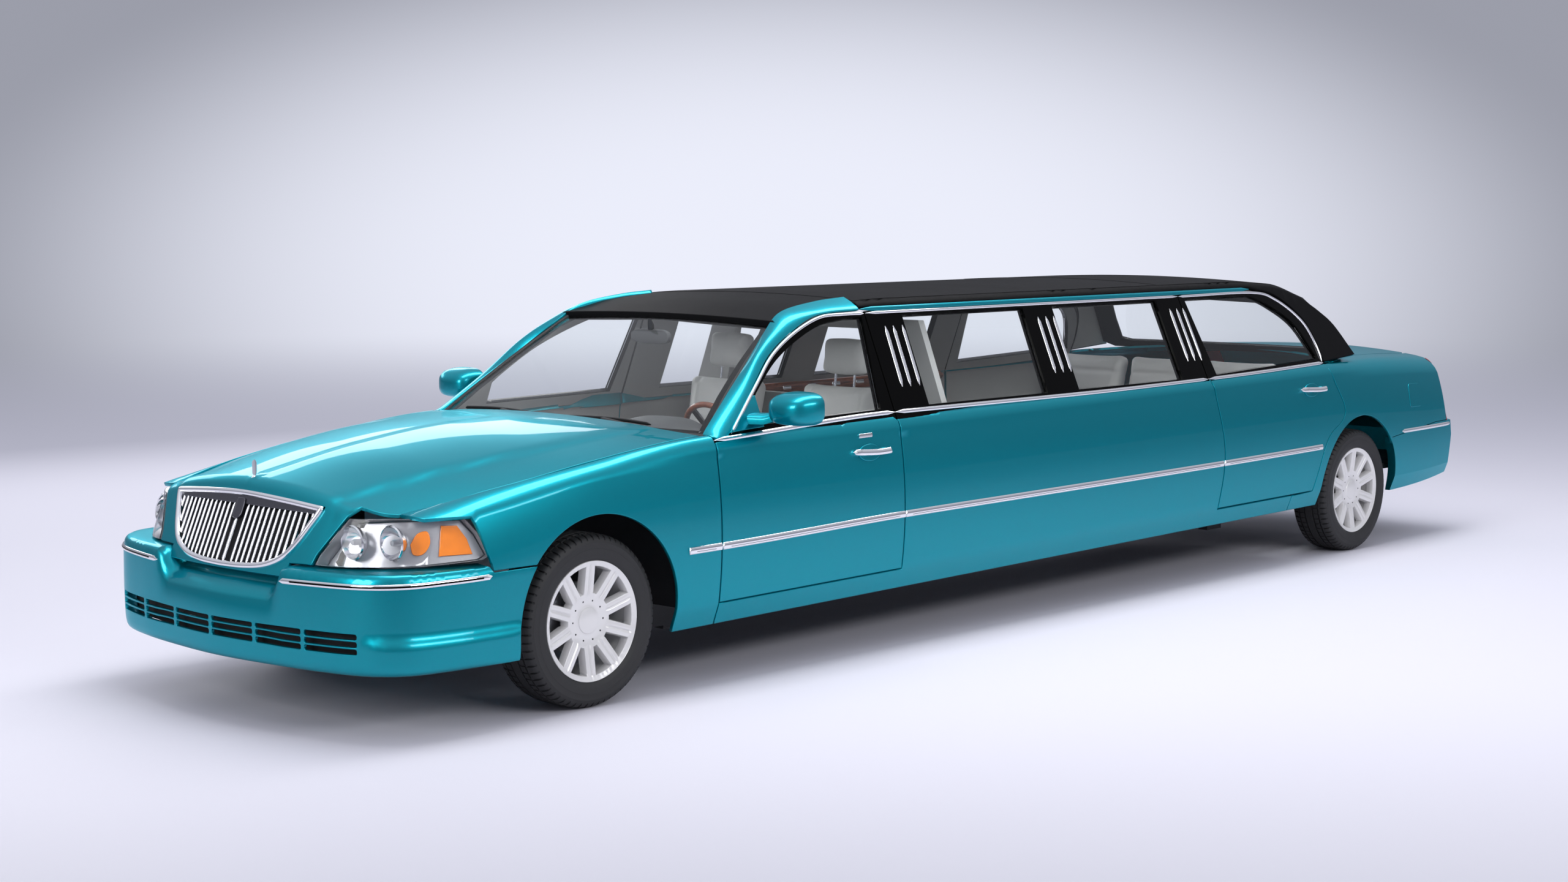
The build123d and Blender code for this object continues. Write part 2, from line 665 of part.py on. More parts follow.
with BuildPart() as knuckle:
    with Locations((FRONT_AXLE_X, 728, TYRE_RADIUS)):
        Box(70, 50, 230)
    with Locations((FRONT_AXLE_X - 90, 728, TYRE_RADIUS - 60)):
        Box(150, 40, 26)
    with BuildSketch(Plane.XZ.offset(-740)):
        with Locations((FRONT_AXLE_X, TYRE_RADIUS)):
            Circle(50)
    extrude(amount=-40)
    with BuildSketch(Plane.XZ.offset(-780)):
        with Locations((FRONT_AXLE_X, TYRE_RADIUS)):
            Circle(28)
    extrude(amount=-90)

# ---------------------------------------------------------------- cabin
STEER_X, STEER_Y, STEER_Z = 1800, 370, 955
COLUMN = (0.906, 0, -0.423)
with BuildPart() as dashboard:
    with BuildSketch(Plane.XZ.offset(-780)):
        with BuildLine():
            Polyline((2380, 700), (2380, 1010), (2290, 1040), (2080, 1035), (1990, 990), (2010, 820), (2120, 700), (2380, 700))
        make_face()
    extrude(amount=1560)
column_part = tube((2120, STEER_Y, STEER_Z - 149.4), (STEER_X + 30, STEER_Y, STEER_Z - 14), 32)
dashboard_part = dashboard.part + column_part

steer_plane = Plane(origin=(STEER_X, STEER_Y, STEER_Z), z_dir=COLUMN)
with BuildPart() as steering_wheel:
    with BuildSketch(Plane.XZ):
        with Locations((185, 0)):
            RegularPolygon(16, 8)
    revolve(axis=Axis.Z)
    with BuildSketch(Plane.XY.offset(-12)):
        Circle(62)
    extrude(amount=34)
    for angle in (0, 180, 250, 290):
        with BuildSketch(Plane.XY.offset(-6)):
            with Locations((112 * math.cos(math.radians(angle)), 112 * math.sin(math.radians(angle)))):
                Rectangle(124, 26, rotation=angle)
        extrude(amount=12)
steering_part = steer_plane.location * steering_wheel.part


def seat(x, y, width, floor_z=336):
    """Front seat facing forward, as one closed soft form."""
    side = [
        (x + 30, 420), (x + 520, 420), (x + 545, 560), (x + 500, 610), (x + 120, 585), (x + 60, 900), (x - 20, 1190),
        (x - 120, 1190), (x - 90, 900), (x - 40, 560),
    ]
    body = side_prism(side, y - width / 2, y + width / 2)
    head = side_prism([(x - 20, 1205), (x - 35, 1390), (x - 110, 1395), (x - 125, 1205), (x - 70, 1180)], y - 130, y + 130)
    post = block((x - 80, y - 40, 1150), (x - 60, y + 40, 1230))
    foot = block((x + 60, y - width / 2 + 60, floor_z), (x + 440, y + width / 2 - 60, 430))
    return joined(body, head, post, foot)


front_seat_left = seat(1010, 380, 520)
front_seat_right = seat(1010, -380, 520)

with BuildPart() as partition:
    with BuildSketch(Plane.YZ.offset(700)):
        with BuildLine():
            Polyline((-790, 345), (790, 345), (830, 1050), (670, 1470), (-670, 1470), (-830, 1050), close=True)
        make_face()
        with BuildLine():
            Polyline((-600, 1080), (600, 1080), (520, 1420), (-520, 1420), close=True)
        make_face(mode=Mode.SUBTRACT)
    extrude(amount=40)
partition_part = partition.part

REAR_BENCH = [(-1700, 400), (-1660, 600), (-2180, 600), (-2330, 1150), (-2450, 1170), (-2440, 900), (-2430, 400)]
rear_bench_part = side_prism(REAR_BENCH, -780, 780)
FRONT_BENCH = [(180, 345), (150, 560), (540, 560), (610, 1060), (690, 1070), (690, 345)]
front_bench_part = side_prism(FRONT_BENCH, -780, 780)
bar_cabinet_part = block((-1000, -830, 345), (100, -520, 880))

# ---------------------------------------------------------------- mirrors
mirror_part = side_prism([(2120, 1090), (2160, 1180), (2130, 1220), (2020, 1225), (1990, 1180), (2010, 1100)], 985, 1205) + plan_prism(
    [(2200, 880), (2120, 1000), (2060, 1000), (2120, 880)], 1105, 1130
)

pieces = {}


def keep(name, piece):
    pieces[name] = piece


door_left_front = biggest(door_parts["front"]) + mirror_part
door_left_rear = biggest(door_parts["rear"])

for name, left in (
    ("front_fender", biggest(fender_part)),
    ("side_wall", biggest(wall_part)),
    ("rear_quarter", biggest(quarter_part)),
    ("front_door", door_left_front),
    ("rear_door", door_left_rear),
    ("front_door_glass", window_parts["front"]),
    ("rear_door_glass", window_parts["rear"]),
    ("headlamp", biggest(headlamp_part)),
    ("tail_lamp", biggest(tail_lamp_part)),
    ("steering_knuckle", knuckle.part),
):
    keep(name + "_left", left)
    keep(name + "_right", mirrored(left))
for number, left in enumerate(stretch_glass_parts, 1):
    keep(f"stretch_glass_{number}_left", left)
    keep(f"stretch_glass_{number}_right", mirrored(left))
for (kind, end, side), piece in wheel_pieces.items():
    keep(f"{kind}_{end}_{side}", piece)
keep("hood", biggest(hood_shell))
keep("trunk_lid", biggest(trunk_shell))
keep("front_bumper", biggest(front_bumper_part))
keep("rear_bumper", biggest(rear_bumper_part))
keep("windscreen_frame", biggest(screen_frame_part))
keep("windscreen", windshield_part)
keep("roof", biggest(roof_part))
keep("rear_window", rear_window_part)
keep("floor_pan", floor_pan.part)
keep("chassis_frame", joined(frame.part, *front_links))
keep("engine_block", engine_block.part)
keep("firewall", firewall)
keep("rear_axle", rear_axle_part)
keep("dashboard", dashboard_part)
keep("steering_wheel", steering_part)
keep("driver_seat", front_seat_left)
keep("passenger_seat", front_seat_right)
keep("partition", partition_part)
keep("rear_bench", rear_bench_part)
keep("facing_bench", front_bench_part)
keep("bar_cabinet", bar_cabinet_part)

for name, piece in pieces.items():
    piece.label = name
    export_step(piece, f"parts/{name}.step")
    solids = piece.solids()
    if len(solids) != 1 or not piece.is_valid:
        print("CHECK", name, piece.is_valid, [round(s.volume / 1e6, 2) for s in solids])
print(len(pieces), "pieces")
for label, group in (("wall", wall_part), ("frame", screen_frame_part), ("fd", door_parts["front"]), ("rd", door_parts["rear"]), ("quarter", quarter_part)):
    for solid in group.solids():
        print(label, round(solid.volume / 1e6, 2), solid.bounding_box())
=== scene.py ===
# %% [markdown]
# # A stretch limousine, dressed piece by piece
#
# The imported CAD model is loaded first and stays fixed. Every piece below is made in the same frame, in
# metres: X runs forward to the nose, Y to the car's left, Z up, with the origin on the ground at the middle.
# Painted steel, glass, chrome and leather each get their own cell and finish.

# %% Load the fixed frame
import math

import bpy
import numpy as np
from mathutils import Matrix, Vector
from mathutils.geometry import delaunay_2d_cdt


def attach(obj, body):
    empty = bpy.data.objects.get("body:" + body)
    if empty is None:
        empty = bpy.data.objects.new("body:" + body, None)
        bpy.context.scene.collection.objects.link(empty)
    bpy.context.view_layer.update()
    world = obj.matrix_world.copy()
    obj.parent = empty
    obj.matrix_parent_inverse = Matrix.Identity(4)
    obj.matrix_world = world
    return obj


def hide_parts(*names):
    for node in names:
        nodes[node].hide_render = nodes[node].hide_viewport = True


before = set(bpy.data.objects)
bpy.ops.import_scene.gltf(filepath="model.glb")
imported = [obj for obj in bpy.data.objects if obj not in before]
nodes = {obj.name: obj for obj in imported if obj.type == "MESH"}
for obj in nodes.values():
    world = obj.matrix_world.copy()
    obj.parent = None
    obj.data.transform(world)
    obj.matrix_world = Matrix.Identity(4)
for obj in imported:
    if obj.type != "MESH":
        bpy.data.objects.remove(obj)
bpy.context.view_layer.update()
bpy.context.scene.view_settings.view_transform = "Standard"


def deselect():
    """Operators act on all that is selected, so start from nothing."""
    bpy.ops.object.select_all(action="DESELECT")


deselect()

# %% [markdown]
# ## Floor, lights and camera
#
# A studio floor is a pale sweep with no horizon. One large plane is enough: near the car it is a plain matt
# floor that catches the shadow, with painted shade that darkens it towards the camera, and far out it fades
# to the tone of the world, so no edge shows.

# %% Node helpers
BACKDROP = (0.330, 0.340, 0.400, 1)
GLOW = (0.84, 0.86, 0.97, 1)
GLOW_WAY = (-0.7341, -0.6758, -0.065)
GLOW_FLAT = (1.0, 1.0, 2.4)
FLOOR = (0.60, 0.59, 0.66, 1)
# Painted shade: the next colour darkens the floor on the side towards the camera.
FLOOR_PAINTED_SHADE = (0.32, 0.32, 0.36, 1)
SKY_TONES = ((0.10, 0.105, 0.13, 1), (0.30, 0.31, 0.37, 1), (0.80, 0.82, 0.90, 1))
EYE_WAY = (0.736, 0.677, 0.0)
GLOW_EDGE = 0.94
FADE_REACH = (7.0, 26.0)
# Painted shade: how far along the camera's direction the floor darkens.
PAINTED_SHADE_REACH = (2.0, 8.5)


def new_material(name):
    """An empty node material and its Principled shader."""
    material = bpy.data.materials.new(name)
    material.use_nodes = True
    shader = material.node_tree.nodes["Principled BSDF"]
    return material, material.node_tree, shader


def node(tree, kind, **values):
    """Add one node. Names that match inputs set them, with _ for a space; the rest set properties."""
    made = tree.nodes.new(kind)
    for key, value in values.items():
        label = key.replace("_", " ")
        if label in made.inputs:
            made.inputs[label].default_value = value
        else:
            setattr(made, key, value)
    return made


def set_inputs(target, **values):
    """Set inputs of a node that exists already."""
    for key, value in values.items():
        target.inputs[key.replace("_", " ")].default_value = value


def wire(tree, *pairs):
    """Join outputs to inputs."""
    for source, target in pairs:
        tree.links.new(source, target)


def vector_math(tree, operation, second=None):
    """A vector node whose second input is a constant."""
    made = node(tree, "ShaderNodeVectorMath", operation=operation)
    if second is not None:
        made.inputs[1].default_value = second
    return made


def soft_range(tree, low, high):
    """A map from low..high to 0..1 with soft ends."""
    return node(tree, "ShaderNodeMapRange", interpolation_type="SMOOTHSTEP", From_Min=low, From_Max=high)


def backdrop_colour(tree, direction):
    """The backdrop is brightest low down behind the object, and falls off to all sides."""
    flat = vector_math(tree, "MULTIPLY", GLOW_FLAT)
    unit_way = vector_math(tree, "NORMALIZE")
    toward = vector_math(tree, "DOT_PRODUCT", GLOW_WAY)
    near = soft_range(tree, GLOW_EDGE, 1.0)
    tone = node(tree, "ShaderNodeMix", data_type="RGBA", A=BACKDROP, B=GLOW)
    wire(
        tree,
        (direction, flat.inputs[0]),
        (flat.outputs["Vector"], unit_way.inputs[0]),
        (unit_way.outputs["Vector"], toward.inputs[0]),
        (toward.outputs["Value"], near.inputs["Value"]),
        (near.outputs["Result"], tone.inputs["Factor"]),
    )
    return tone.outputs["Result"]


print("node helpers ready")

# %% [markdown]
# The floor shows its own matt surface close by and turns into the backdrop's glow further out. Seen from the
# front of the car, the near floor is darker: painted shade in the floor's colour.

# %% Floor and backdrop
deselect()
bpy.ops.mesh.primitive_plane_add(size=160, location=(0, 0, 0))
floor = bpy.context.object
floor.name = "studio_floor"
floor_paint, tree, shader = new_material("studio_floor")
set_inputs(shader, Base_Color=FLOOR, Roughness=0.7, Specular_IOR_Level=0.15)
place = node(tree, "ShaderNodeTexCoord")
reach = vector_math(tree, "LENGTH")
fade = soft_range(tree, *FADE_REACH)
glow = node(tree, "ShaderNodeEmission", Strength=1.0)
mixed = node(tree, "ShaderNodeMixShader")
seen_from = node(tree, "ShaderNodeNewGeometry")
onward = node(tree, "ShaderNodeVectorMath", operation="SCALE", Scale=-1.0)
toward_eye = vector_math(tree, "DOT_PRODUCT", EYE_WAY)
# Painted shade: the floor's colour darkens on the side towards the camera.
painted_shade_mask = soft_range(tree, *PAINTED_SHADE_REACH)
floor_with_painted_shade = node(tree, "ShaderNodeMix", data_type="RGBA", A=FLOOR, B=FLOOR_PAINTED_SHADE)
wire(
    tree,
    (place.outputs["Object"], toward_eye.inputs[0]),
    (toward_eye.outputs["Value"], painted_shade_mask.inputs["Value"]),
    (painted_shade_mask.outputs["Result"], floor_with_painted_shade.inputs["Factor"]),
    (floor_with_painted_shade.outputs["Result"], shader.inputs["Base Color"]),
    (seen_from.outputs["Incoming"], onward.inputs[0]),
    (backdrop_colour(tree, onward.outputs["Vector"]), glow.inputs["Color"]),
    (place.outputs["Object"], reach.inputs[0]),
    (reach.outputs["Value"], fade.inputs["Value"]),
    (fade.outputs["Result"], mixed.inputs[0]),
    (shader.outputs[0], mixed.inputs[1]),
    (glow.outputs[0], mixed.inputs[2]),
    (mixed.outputs[0], tree.nodes["Material Output"].inputs["Surface"]),
)
floor.data.materials.append(floor_paint)
print("floor and backdrop")

# %% [markdown]
# The world lights the object from above, darker towards the horizon, so the paint has something to reflect.
# The camera sees the plain backdrop instead. Four large soft lamps draw the long highlights on the panels.

# %% World, lamps and camera
world = bpy.data.worlds.new("studio")
bpy.context.scene.world = world
world.use_nodes = True
tree = world.node_tree
sky = tree.nodes["Background"]
rays = node(tree, "ShaderNodeLightPath")
place = node(tree, "ShaderNodeTexCoord")
split = node(tree, "ShaderNodeSeparateXYZ")
height = node(tree, "ShaderNodeValToRGB")
for stop, position, colour in zip(
    (height.color_ramp.elements[0], height.color_ramp.elements.new(0.56), height.color_ramp.elements[-1]),
    (0.46, 0.56, 0.95),
    SKY_TONES,
):
    stop.position = position
    stop.color = colour
rise = node(tree, "ShaderNodeMapRange", From_Min=-1.0, From_Max=1.0)
seen = node(tree, "ShaderNodeMix", data_type="RGBA")
wire(
    tree,
    (backdrop_colour(tree, place.outputs["Generated"]), seen.inputs["B"]),
    (place.outputs["Generated"], split.inputs[0]),
    (split.outputs["Z"], rise.inputs["Value"]),
    (rise.outputs["Result"], height.inputs["Fac"]),
    (height.outputs["Color"], seen.inputs["A"]),
    (rays.outputs["Is Camera Ray"], seen.inputs["Factor"]),
    (seen.outputs["Result"], sky.inputs["Color"]),
)
sky.inputs["Strength"].default_value = 1.0


def softbox(name, place, aim, size, power):
    """A large rectangular lamp, pointed at a spot."""
    lamp = bpy.data.lights.new(name, "AREA")
    lamp.shape = "RECTANGLE"
    lamp.size, lamp.size_y = size
    lamp.energy = power
    holder = bpy.data.objects.new(name, lamp)
    bpy.context.scene.collection.objects.link(holder)
    holder.location = place
    holder.rotation_euler = (Vector(aim) - Vector(place)).to_track_quat("-Z", "Y").to_euler()


softbox("overhead", (0.0, 0.6, 6.2), (0.0, 0.2, 0.0), (10.0, 2.2), 430)
softbox("left_side", (1.5, 9.0, 4.6), (0.2, 0.0, 0.9), (9.0, 1.6), 340)
softbox("front", (10.5, 1.0, 3.6), (3.0, 0.0, 0.8), (3.0, 2.6), 230)
softbox("right_side", (-1.0, -8.5, 4.0), (0.0, 0.0, 0.8), (9.0, 2.0), 200)

camera_data = bpy.data.cameras.new("photo_camera")
camera = bpy.data.objects.new("photo_camera", camera_data)
bpy.context.scene.collection.objects.link(camera)
camera.location = (9.710, 8.061, 2.056)
camera.rotation_euler = (math.radians(84.29), 0, math.radians(132.63))
camera_data.sensor_width = 36
camera_data.lens = 56.03
camera_data.clip_end = 400
bpy.context.scene.camera = camera
print("world, four soft lamps and the camera")

# %% [markdown]
# ## The body as one skin
#
# Car panels are pressed from flat sheet over one continuous form. The form is described as cross-sections:
# each row holds the heights and half widths of the sill, side, waist, shoulder and crown at one station.
# Between the rows the values run on a curve that never overshoots, so reflections flow from panel to panel.

# %% Body stations
STATIONS = np.array([
    # x, bottom z y, sill z y, side z y, waist z y, shoulder z y, crown z
    (-4420, 400, 850, 450, 880, 680, 895, 960, 850, 1050, 720, 1100),
    (-3810, 330, 900, 410, 935, 680, 950, 1000, 905, 1092, 790, 1142),
    (-3210, 312, 925, 402, 958, 680, 978, 1018, 938, 1108, 850, 1158),
    (-2610, 308, 930, 400, 965, 680, 985, 1020, 953, 1108, 908, 1155),
    (-1900, 301, 930, 393, 965, 672, 985, 1013, 954, 1101, 910, 1147),
    (1700, 264, 930, 357, 965, 628, 985, 975, 956, 1063, 920, 1112),
    (2400, 257, 930, 350, 965, 620, 985, 968, 957, 1056, 922, 1106),
    (3040, 250, 925, 345, 960, 612, 984, 940, 957, 1000, 885, 1090),
    (3540, 245, 915, 340, 950, 605, 974, 865, 943, 930, 825, 1038),
    (3940, 235, 900, 335, 935, 600, 958, 805, 922, 852, 745, 965),
    (4400, 230, 890, 330, 925, 600, 945, 745, 900, 800, 690, 868),
]) / 1000
FRONT_AXLE, REAR_AXLE = 3.090, -2.950
ARCH_RADIUS, ARCH_HEIGHT = 0.437, 0.358
WHEEL_HEIGHT = 0.355
# The greenhouse leans in by TUMBLE per metre of height, from a belt at BELT_Y and BELT_Z.
TUMBLE, BELT_Z, BELT_Y = 0.417, 1.090, 0.915
SLANT = 1 / math.sqrt(1 + TUMBLE**2)


def smooth_table(keys, values):
    """A smooth curve through a table of values that never overshoots them."""
    keys, values = np.asarray(keys, float), np.asarray(values, float)
    if values.ndim == 1:
        values = values[:, None]
    steps = np.diff(keys)
    rates = np.diff(values, axis=0) / steps[:, None]
    slopes = np.zeros_like(values)
    slopes[0], slopes[-1] = rates[0], rates[-1]
    for i in range(1, len(keys) - 1):
        before, after = rates[i - 1], rates[i]
        w1, w2 = 2 * steps[i] + steps[i - 1], steps[i] + 2 * steps[i - 1]
        same = before * after > 0
        slopes[i] = np.where(
            same, (w1 + w2) / (w1 / np.where(same, before, 1) + w2 / np.where(same, after, 1)), 0
        )

    def at(x):
        """The columns read at x; past an end, the end's own values."""
        x = np.clip(np.asarray(x, float), keys[0], keys[-1])
        i = np.clip(np.searchsorted(keys, x, side="right") - 1, 0, len(keys) - 2)
        h = steps[i][..., None]
        t = ((x - keys[i]) / steps[i])[..., None]
        a, b, c, d = values[i], values[i + 1], slopes[i] * h, slopes[i + 1] * h
        return a + t * (c + t * (3 * (b - a) - 2 * c - d + t * (2 * (a - b) + c + d)))

    return at


station = smooth_table(STATIONS[:, 0], STATIONS[:, 1:])
print(len(STATIONS), "body stations")

# %% [markdown]
# At each station the skin runs straight up the sill, then over arcs through the side, the shoulder and the
# crown. A place on it is given by x and by a height along the skin.

# %% The form from its stations
def circle_through(p, q, r):
    """Centre and radius of the circle through three points, for whole columns of points."""
    (ax, ay), (bx, by), (cx, cy) = p, q, r
    d = 2 * (ax * (by - cy) + bx * (cy - ay) + cx * (ay - by))
    a2, b2, c2 = ax**2 + ay**2, bx**2 + by**2, cx**2 + cy**2
    ux = (a2 * (by - cy) + b2 * (cy - ay) + c2 * (ay - by)) / d
    uy = (a2 * (cx - bx) + b2 * (ax - cx) + c2 * (bx - ax)) / d
    return ux, uy, np.hypot(ax - ux, ay - uy)


def on_arc(p, q, r, t):
    """Point at share t of the arc from p through q to r."""
    ux, uy, radius = circle_through(p, q, r)
    a = np.arctan2(p[1] - uy, p[0] - ux)
    b = np.arctan2(r[1] - uy, r[0] - ux)
    turn = (b - a + math.pi) % (2 * math.pi) - math.pi
    angle = a + t * turn
    return ux + radius * np.cos(angle), uy + radius * np.sin(angle)


# Skin heights: 0 to 0.09 is the sill, to 0.71 the side, to 0.85 the shoulder, to 1.75 the crown.
KNOTS = np.array([0.0, 0.09, 0.71, 0.85, 1.75])


def body_skin(uv):
    """Points of the body form: uv holds x and the height along the skin."""
    x, v = uv[:, 0], uv[:, 1]
    bz, by, sz, sy, mz, my, wz, wy, hz, hy, cz = station(x).T
    part = np.interp(v, KNOTS, range(5))
    y = by + (sy - by) * part
    z = bz + (sz - bz) * part
    side = on_arc((sy, sz), (my, mz), (wy, wz), np.clip(part - 1, 0, 1))
    mid = ((wy + hy) / 2 + 0.13 * (hz - wz), (wz + hz) / 2 + 0.13 * (wy - hy))
    top = on_arc((wy, wz), mid, (hy, hz), np.clip(part - 2, 0, 1))
    crown = on_arc((hy, hz), (0 * hy, cz), (-hy, hz), np.clip(part - 3, 0, 2) / 2)
    for low, (arc_y, arc_z) in ((1, side), (2, top), (3, crown)):
        y = np.where(part > low, arc_y, y)
        z = np.where(part > low, arc_z, z)
    return np.stack([x, y, z], 1)


def skin_height(x, value, axis):
    """Where a station of the skin reaches a height (axis 2) or, past the side, a half width (axis 1)."""
    x, value = np.atleast_1d(x).astype(float), np.atleast_1d(value).astype(float)
    trial = np.linspace(0.0 if axis == 2 else 0.5, 1.75, 500)
    result = np.empty(len(x))
    for i in range(len(x)):
        found = body_skin(np.stack([np.full(len(trial), x[i]), trial], 1))[:, axis]
        if axis == 1:
            result[i] = np.interp(-value[i], -found, trial)
        else:
            top = int(np.argmax(found))
            result[i] = np.interp(value[i], found[: top + 1], trial[: top + 1])
    return result


def house_side(uv):
    """The leaning side plane of the greenhouse: uv holds x and z."""
    x, z = uv[:, 0], uv[:, 1]
    return np.stack([x, BELT_Y - TUMBLE * (z - BELT_Z), z], 1)


belt_height = smooth_table([-3.3, -2.627, -1.428, -0.244, 1.211, 2.285, 2.45],
                           [1.140, 1.112, 1.084, 1.074, 1.076, 1.039, 1.033])
print("skin at the middle:", body_skin(np.array([[0.0, 0.5]])).round(3))

# %% [markdown]
# ## Pressing a sheet
#
# A panel is drawn flat as an outline with holes, filled with an even net of points, and pressed on the form.
# Each point then takes its normal from the form itself, so the paint reflects without ripples, also beside a
# cut edge. The sheet gets its thickness, and its edge is turned in on a small radius as on real sheet metal.
# A grid cut with knife tools would need the normals repaired afterwards, so the net is built directly.

# %% Lines and nets
def unit(rows):
    """Rows scaled to length one."""
    return rows / (np.linalg.norm(rows, axis=1)[:, None] + 1e-12)


def around(line):
    """The direction of a closed line at each of its points."""
    return unit(np.roll(line, -1, axis=0) - np.roll(line, 1, axis=0))


def surface_normals(surface, uv, step=2e-4):
    """The normals of a form at places given in its own coordinates."""
    du = surface(uv + (step, 0)) - surface(uv - (step, 0))
    dv = surface(uv + (0, step)) - surface(uv - (0, step))
    return unit(np.cross(du, dv))


def resample(points, spacing, closed=True):
    """Points along a line of straight runs, no further apart than the spacing."""
    points = [np.asarray(p, float) for p in points]
    ends = points[1:] + points[:1] if closed else points[1:]
    result = []
    for a, b in zip(points, ends):
        count = max(1, int(math.ceil(np.linalg.norm(b - a) / spacing)))
        result += [a + (b - a) * i / count for i in range(count)]
    if not closed:
        result.append(points[-1])
    return np.array(result)


def area_of(points):
    """The area inside a closed line, positive when it runs anticlockwise."""
    x, y = points[:, 0], points[:, 1]
    return 0.5 * float(np.sum(x * np.roll(y, -1) - np.roll(x, -1) * y))


def anticlockwise(points):
    """The same closed line, turned if it runs clockwise."""
    return points if area_of(points) > 0 else points[::-1]


def inset(points, distance):
    """A closed line moved to its left side, which is inwards when it runs anticlockwise."""
    ahead = unit(np.roll(points, -1, axis=0) - points)
    back = np.roll(ahead, 1, axis=0)
    normal = np.stack([-(ahead + back)[:, 1], (ahead + back)[:, 0]], 1)
    size = np.linalg.norm(normal, axis=1)[:, None]
    normal = np.where(size > 1e-6, normal / np.maximum(size, 1e-6), 0)
    stretch = np.clip(2 / np.maximum(size, 0.7), 1, 1.6)
    return points + normal * distance * stretch


def within(points, outline):
    """Which points lie inside a closed line."""
    inside = np.zeros(len(points), bool)
    px, py = points[:, 0], points[:, 1]
    for a, b in zip(outline, np.roll(outline, -1, axis=0)):
        crosses = (a[1] > py) != (b[1] > py)
        if a[1] != b[1]:
            inside ^= crosses & (px < (b[0] - a[0]) * (py - a[1]) / (b[1] - a[1]) + a[0])
    return inside


def inside_loops(points, loops):
    """Which points lie in the first loop and outside all the others."""
    keep = within(points, loops[0])
    for loop in loops[1:]:
        keep &= ~within(points, loop)
    return keep


def even_net(outline, rings, spacing, extra):
    """Loose points that fill the outline, clear of its rings."""
    low, high = outline.min(0), outline.max(0)
    columns = np.arange(low[0] + spacing / 2, high[0], spacing)
    rows = np.arange(low[1] + spacing / 2, high[1], spacing)
    net = np.array([(x, y) for x in columns for y in rows]).reshape(-1, 2)
    if extra is not None:
        net = np.concatenate([net, extra])
    if len(net):
        net = net[inside_loops(net, rings)]
    if len(net):
        border = np.concatenate(rings)
        gap = np.full(len(net), 9.0)
        for start in range(0, len(border), 200):
            some = border[start : start + 200]
            gap = np.minimum(gap, np.linalg.norm(net[:, None] - some[None], axis=2).min(1))
        net = net[gap > (0.45 if extra is None else 0.2) * spacing]
    return net


print("line and net tools ready")

# %% [markdown]
# The press makes a closed sheet: the skin, its back and a turned edge round every loop. Sheets are then
# joined to one object that keeps the normals of the form.

# %% The press
def press(surface, outline, holes=(), depth=0.012, spacing=0.05, edge=0.003, side=1, slots=(0, 0, 0),
          extra=None):
    """A closed sheet over a form. side -1 makes the mirrored one. Slots: skin, back and edge finish."""
    outline = anticlockwise(np.asarray(outline, float))
    loops = [outline] + [anticlockwise(np.asarray(hole, float))[::-1] for hole in holes]
    rings = [inset(loop, edge) for loop in loops]
    flat = np.concatenate(rings + [even_net(outline, rings, spacing, extra)])
    edges, first = [], 0
    for ring in rings:
        edges += [(first + i, first + (i + 1) % len(ring)) for i in range(len(ring))]
        first += len(ring)
    found, _, faces, origin, _, _ = delaunay_2d_cdt([Vector(p) for p in flat], edges, [], 0, 1e-7)
    found = np.array([tuple(p) for p in found])
    faces = np.array([f for f in faces if len(f) == 3])
    faces = faces[inside_loops(found[faces].mean(1), rings)]
    index = {old: new for new, olds in enumerate(origin) for old in olds}
    top, top_n = surface(found), surface_normals(surface, found)
    faces = np.array([f[::-1] if area_of(found[f]) < 0 else f for f in faces])
    # A point within the car tells which side of the form is the outer one.
    centre = np.array([np.mean(top[:, 0]) * 0.9, 0, 0.55])
    outward = 1.0 if float(np.mean(np.sum(top_n * (top - centre), axis=1))) > 0 else -1.0
    top_n = top_n * outward
    if outward < 0:
        faces = faces[:, ::-1]
    points, point_n = [top], [top_n]
    count = len(top)
    points.append(top - top_n * depth)
    point_n.append(-top_n)
    polygons = [tuple(f) for f in faces] + [tuple(int(i) + count for i in f[::-1]) for f in faces]
    finish = [slots[0]] * len(faces) + [slots[1]] * len(faces)
    first, total = 0, 2 * count
    for loop, ring in zip(loops, rings):
        size = len(ring)
        here = [index[first + i] for i in range(size)]
        first += size
        wall, wall_n = surface(loop), surface_normals(surface, loop) * outward
        out = unit(np.cross(around(wall), wall_n) * outward)
        near = unit(out + wall_n)
        points += [wall - wall_n * min(edge * 0.45, depth * 0.4), wall - wall_n * (depth * 0.97)]
        point_n += [near * 0.4 + out * 0.6, out]
        a, b = total, total + size
        total += 2 * size
        for i in range(size):
            j = (i + 1) % size
            quads = [
                (here[i], a + i, a + j, here[j]),
                (a + i, b + i, b + j, a + j),
                (b + i, here[i] + count, here[j] + count, b + j),
            ]
            for quad in quads:
                polygons.append(quad if outward > 0 else quad[::-1])
                finish.append(slots[2])
    points, point_n = np.concatenate(points), np.concatenate(point_n)
    if side < 0:
        points, point_n = points * (1, -1, 1), point_n * (1, -1, 1)
        polygons = [p[::-1] for p in polygons]
    return points, point_n, polygons, finish


def linked(name, mesh):
    """A new object in the scene for a mesh."""
    made = bpy.data.objects.new(name, mesh)
    bpy.context.scene.collection.objects.link(made)
    return made


